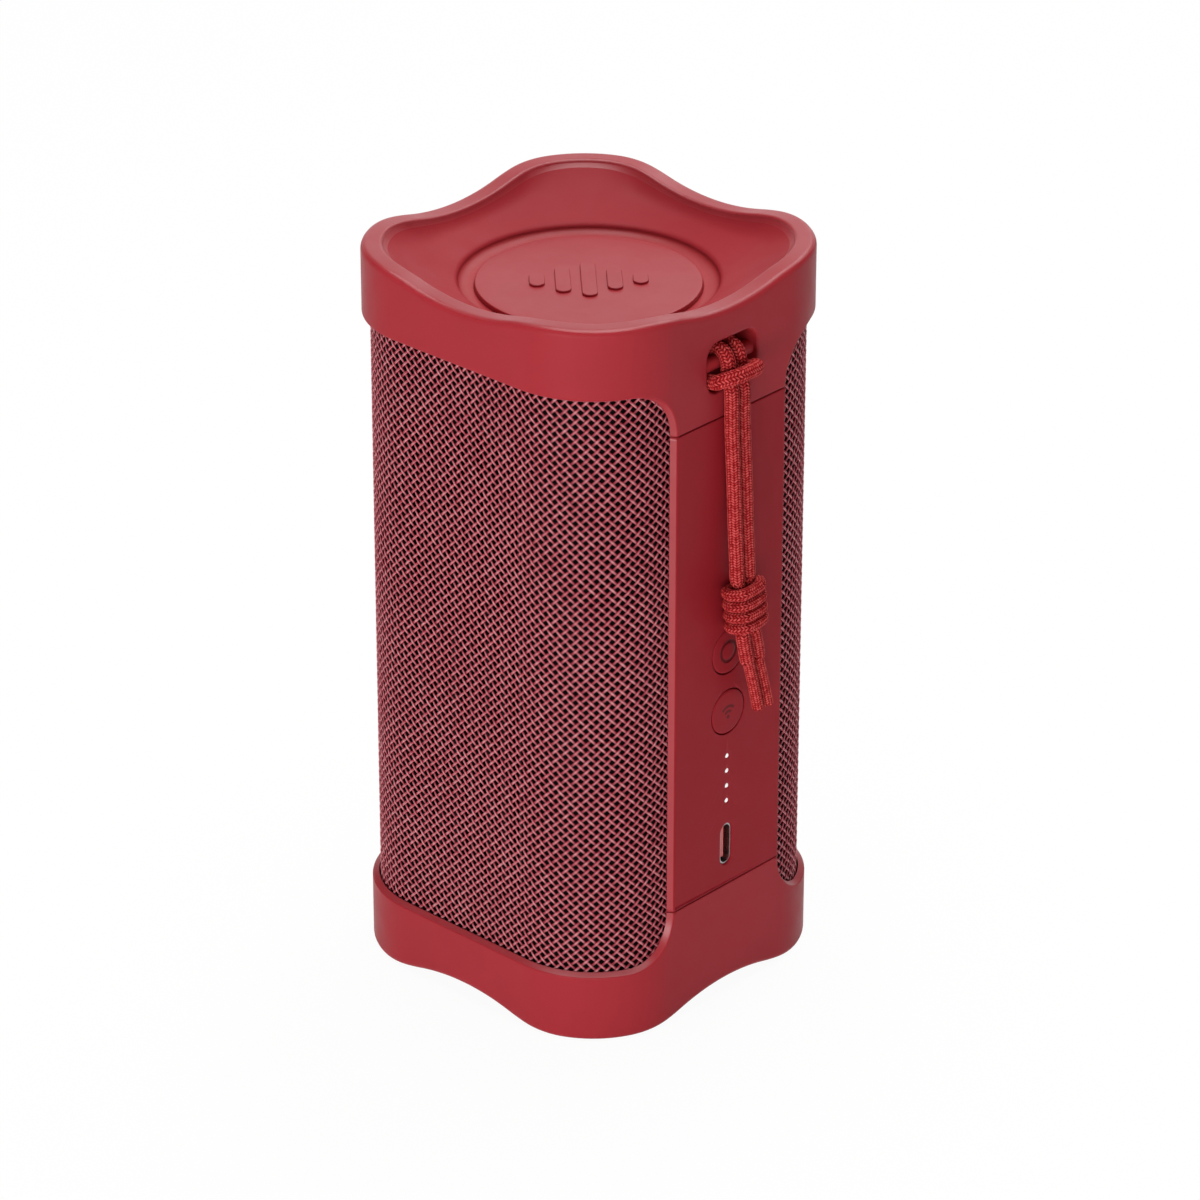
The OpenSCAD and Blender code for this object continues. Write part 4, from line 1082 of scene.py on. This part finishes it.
def braided(name, points, side, size):
    """A cord of threads that pass two over and two under, on a core.

    Size gives the share of its radius at a point.
    """
    path, length = smooth_path(points, BRAID_STEP)
    across = frames(path, side)
    chance = random.Random(len(path))
    made = Builder()
    tone_and_light_values = []

    def place(i, angle, radius, along=0.0):
        u, v = across[i]
        outward = math.cos(angle) * u + math.sin(angle) * v
        return tuple(path[i] + size(path[i]) * radius * outward + along * u.cross(v))

    for turn in (1, -1):
        for k in range(BRAID_ENDS):
            own = chance.uniform(-THREAD_SPREAD, THREAD_SPREAD)
            rows = []
            for i in range(len(path)):
                angle = 2 * math.pi * k / BRAID_ENDS + turn * i * BRAID_STEP / math.tan(BRAID_LAY) / BRAID_R
                lift = turn * BRAID_RISE * math.cos(BRAID_ENDS * angle / 2)
                jitter = chance.uniform(-THREAD_JITTER, THREAD_JITTER)
                row = []
                # Tone: painted shade at the thread's edges and where it dips, painted highlight on its
                # crowns, and random spread
                for (a, b), tone_and_light in zip(THREAD, THREAD_EDGE_SHADE):
                    aside = angle - turn * math.sin(BRAID_LAY) * a / BRAID_R
                    row.append(place(i, aside, BRAID_R + lift + b, math.cos(BRAID_LAY) * a))
                    tone_and_light_values.append(min(1.0, max(0.0, tone_and_light + own + jitter + THREAD_LIFT_LIGHT * lift)))
                rows.append(made.add(row))
            made.rows(rows, closed=False, flip=turn > 0)
    core = []
    for i in range(0, len(path), 2):
        core.append(made.add([place(i, a, CORE_R) for a in circle(CORE_POINTS)]))
        tone_and_light_values.extend([CORE_SHADE] * CORE_POINTS)
    made.rows(core)
    made.face(core[0][::-1])
    made.face(core[-1])
    obj = made.piece(name, [BRAID])
    obj.data.attributes.new("tone_and_light", "FLOAT", "POINT").data.foreach_set("value", tone_and_light_values)
    return obj, path, length


def strand(sign):
    """Places on one hanging side of the cord."""
    found = []
    for i, (out, y, down) in enumerate(HANG):
        gap = STRAND_HALF
        if KNOT_FIRST <= i <= KNOT_LAST:
            gap = SQUEEZED_HALF
        elif i >= TAIL_FROM:
            gap = TAIL_HALF
        found.append((HALF + out, y + sign * gap, BAR_Z - down))
    return found


def strand_size(point):
    """Share of the cord's radius: squeezed inside the knot, and thinner below a step near the end."""
    down = BAR_Z - point.z
    squeeze_in, squeeze_out, tail = (smooth_step((down - at) / length)
                                     for at, length in (SQUEEZE_IN, SQUEEZE_OUT, TAIL_STEP))
    knot = squeeze_in - squeeze_out
    return 1 - knot * (1 - SQUEEZED_R / CORD_R) - tail * (1 - TAIL_R / CORD_R)


def loop_side(sign):
    """Places on half of the loop: over the bar, round behind it, and forward to the bight."""
    y0 = HANG[0][1] + sign * STRAND_HALF
    y1 = HANG[0][1] + sign * LOOP_END
    found = [(BAR_X + LOOP_R, y0, BAR_Z - HANG[0][2])]
    for i, a in enumerate(arc(0, LOOP_TURN, LOOP_STEPS)):
        apart = smooth_step((i / LOOP_STEPS - LOOP_APART) / (1 - LOOP_APART))
        found.append((BAR_X + LOOP_R * math.cos(a), y0 + (y1 - y0) * apart, BAR_Z + LOOP_R * math.sin(a)))
    found += [(HALF + out, HANG[0][1] + sign * y, BAR_Z - LOOP_R + z) for out, y, z in BIGHT]
    return found


def knot_points():
    """Places on the winding, which starts beside the cord, ends behind it and leans with it."""
    out, y, down = HANG[KNOT_AT]
    first, last = HANG[KNOT_FIRST], HANG[KNOT_LAST]
    lean = (last[1] - first[1]) / (last[2] - first[2])
    radius = SQUEEZED_R + KNOT_R + KNOT_GAP
    pitch = 2 * KNOT_R + KNOT_TURN_GAP
    found = []
    for degrees in range(KNOT_FROM, 360 * KNOT_TURNS + KNOT_PAST, KNOT_STEP):
        a = math.radians(degrees)
        drop = pitch * (degrees / 360 - KNOT_TURNS / 2)
        aside = SQUEEZED_HALF * max(-1.0, min(1.0, 3 * math.sin(a)))
        found.append((HALF + out - radius * math.cos(a), y + lean * drop + radius * math.sin(a) + aside,
                      BAR_Z - down - drop))
    return found


knot, _, _ = braided("knot_braid", knot_points(), (0, 0, 1), lambda point: KNOT_R / CORD_R)
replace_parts(knot, "strap_knot")
loop, _, _ = braided("loop_braid", loop_side(-1) + loop_side(1)[::-1], (0, 1, 0), lambda point: 1.0)
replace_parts(loop, "strap_loop")
for name, sign, extra in (("left", -1, [loop, knot]), ("right", 1, [])):
    route = strand(sign)
    cord, path, length = braided("cord_" + name, route, (0, 1, 0), strand_size)
    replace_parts(cord, "strap_" + name)


# Studio

# Share of plain white in the floor where it is seen, and the paper's own grey
WHITE_SHARE = 0.95
PAPER = 0.9
WORLD_STRENGTH = 0.05
# Radius and height of the floor's sweep, in metres
FLOOR_SWEEP = [(5.0, 0.0), (5.4, 0.06), (5.7, 0.22), (5.9, 0.5), (6.0, 1.2)]


def area_light(name, place, target, size, power):
    """A lamp in metres and watts, turned to its target."""
    data = bpy.data.lights.new(name, "AREA")
    data.shape = "RECTANGLE"
    data.size, data.size_y = size
    data.energy = power
    light = bpy.data.objects.new(name, data)
    bpy.context.scene.collection.objects.link(light)
    light.location = place
    light.rotation_mode = "QUATERNION"
    light.rotation_quaternion = (Vector(target) - Vector(place)).to_track_quat("-Z", "Y")


area_light("low", (0.2, -0.87, 0.1), (0, 0, 0.09), (0.45, 0.17), 4.2)
area_light("low_right", (0.64, -0.64, 0.1), (0, 0, 0.09), (0.4, 0.17), 2.1)
area_light("overhead", (-0.05, 0.06, 1.0), (0, 0, 0.1), (0.8, 0.8), 9.5)
area_light("back", (-0.6, 0.67, 0.6), (0, 0, 0.12), (0.9, 0.6), 1.5)
area_light("back_high", (-0.15, 0.8, 0.9), (0, 0, 0.12), (0.7, 0.5), 2.8)


def white_when_seen(tree, output, colour):
    """Mixes in plain white for the rays that show the floor, and keeps a little of its shading."""
    path = tree.nodes.new("ShaderNodeLightPath")
    seen = path.outputs["Is Camera Ray"]
    for ray in ("Is Glossy Ray", "Is Transmission Ray"):
        either = tree.nodes.new("ShaderNodeMath")
        either.operation = "MAXIMUM"
        tree.links.new(seen, either.inputs[0])
        tree.links.new(path.outputs[ray], either.inputs[1])
        seen = either.outputs[0]
    part = tree.nodes.new("ShaderNodeMath")
    part.operation = "MULTIPLY"
    part.inputs[1].default_value = WHITE_SHARE
    tree.links.new(seen, part.inputs[0])
    white = node(tree, "ShaderNodeEmission", Color=(1.0, 1.0, 1.0, 1.0))
    mix = tree.nodes.new("ShaderNodeMixShader")
    tree.links.new(part.outputs[0], mix.inputs["Fac"])
    tree.links.new(colour, mix.inputs[1])
    tree.links.new(white.outputs[0], mix.inputs[2])
    tree.links.new(mix.outputs[0], output)


def make_floor():
    """A round floor whose edge sweeps up, so that it also fills the picture from a low view."""
    material = bpy.data.materials.new("floor")
    material.use_nodes = True
    tree = material.node_tree
    tree.nodes.clear()
    output = tree.nodes.new("ShaderNodeOutputMaterial")
    paper = node(tree, "ShaderNodeBsdfDiffuse", Color=(PAPER, PAPER, PAPER, 1.0))
    white_when_seen(tree, output.inputs["Surface"], paper.outputs[0])
    made = Builder()
    rows = [made.add([(radius * math.cos(a), radius * math.sin(a), height) for a in circle(64)])
            for radius, height in FLOOR_SWEEP]
    made.face(rows[0])
    made.rows(rows, flip=True)
    mesh = bpy.data.meshes.new("floor")
    mesh.from_pydata(made.points, [], made.faces)
    mesh.materials.append(material)
    floor = bpy.data.objects.new("floor", mesh)
    bpy.context.scene.collection.objects.link(floor)


make_floor()
world = bpy.data.worlds.new("studio")
bpy.context.scene.world = world
world.use_nodes = True
background = world.node_tree.nodes["Background"]
background.inputs["Color"].default_value = (1.0, 1.0, 1.0, 1.0)
background.inputs["Strength"].default_value = WORLD_STRENGTH
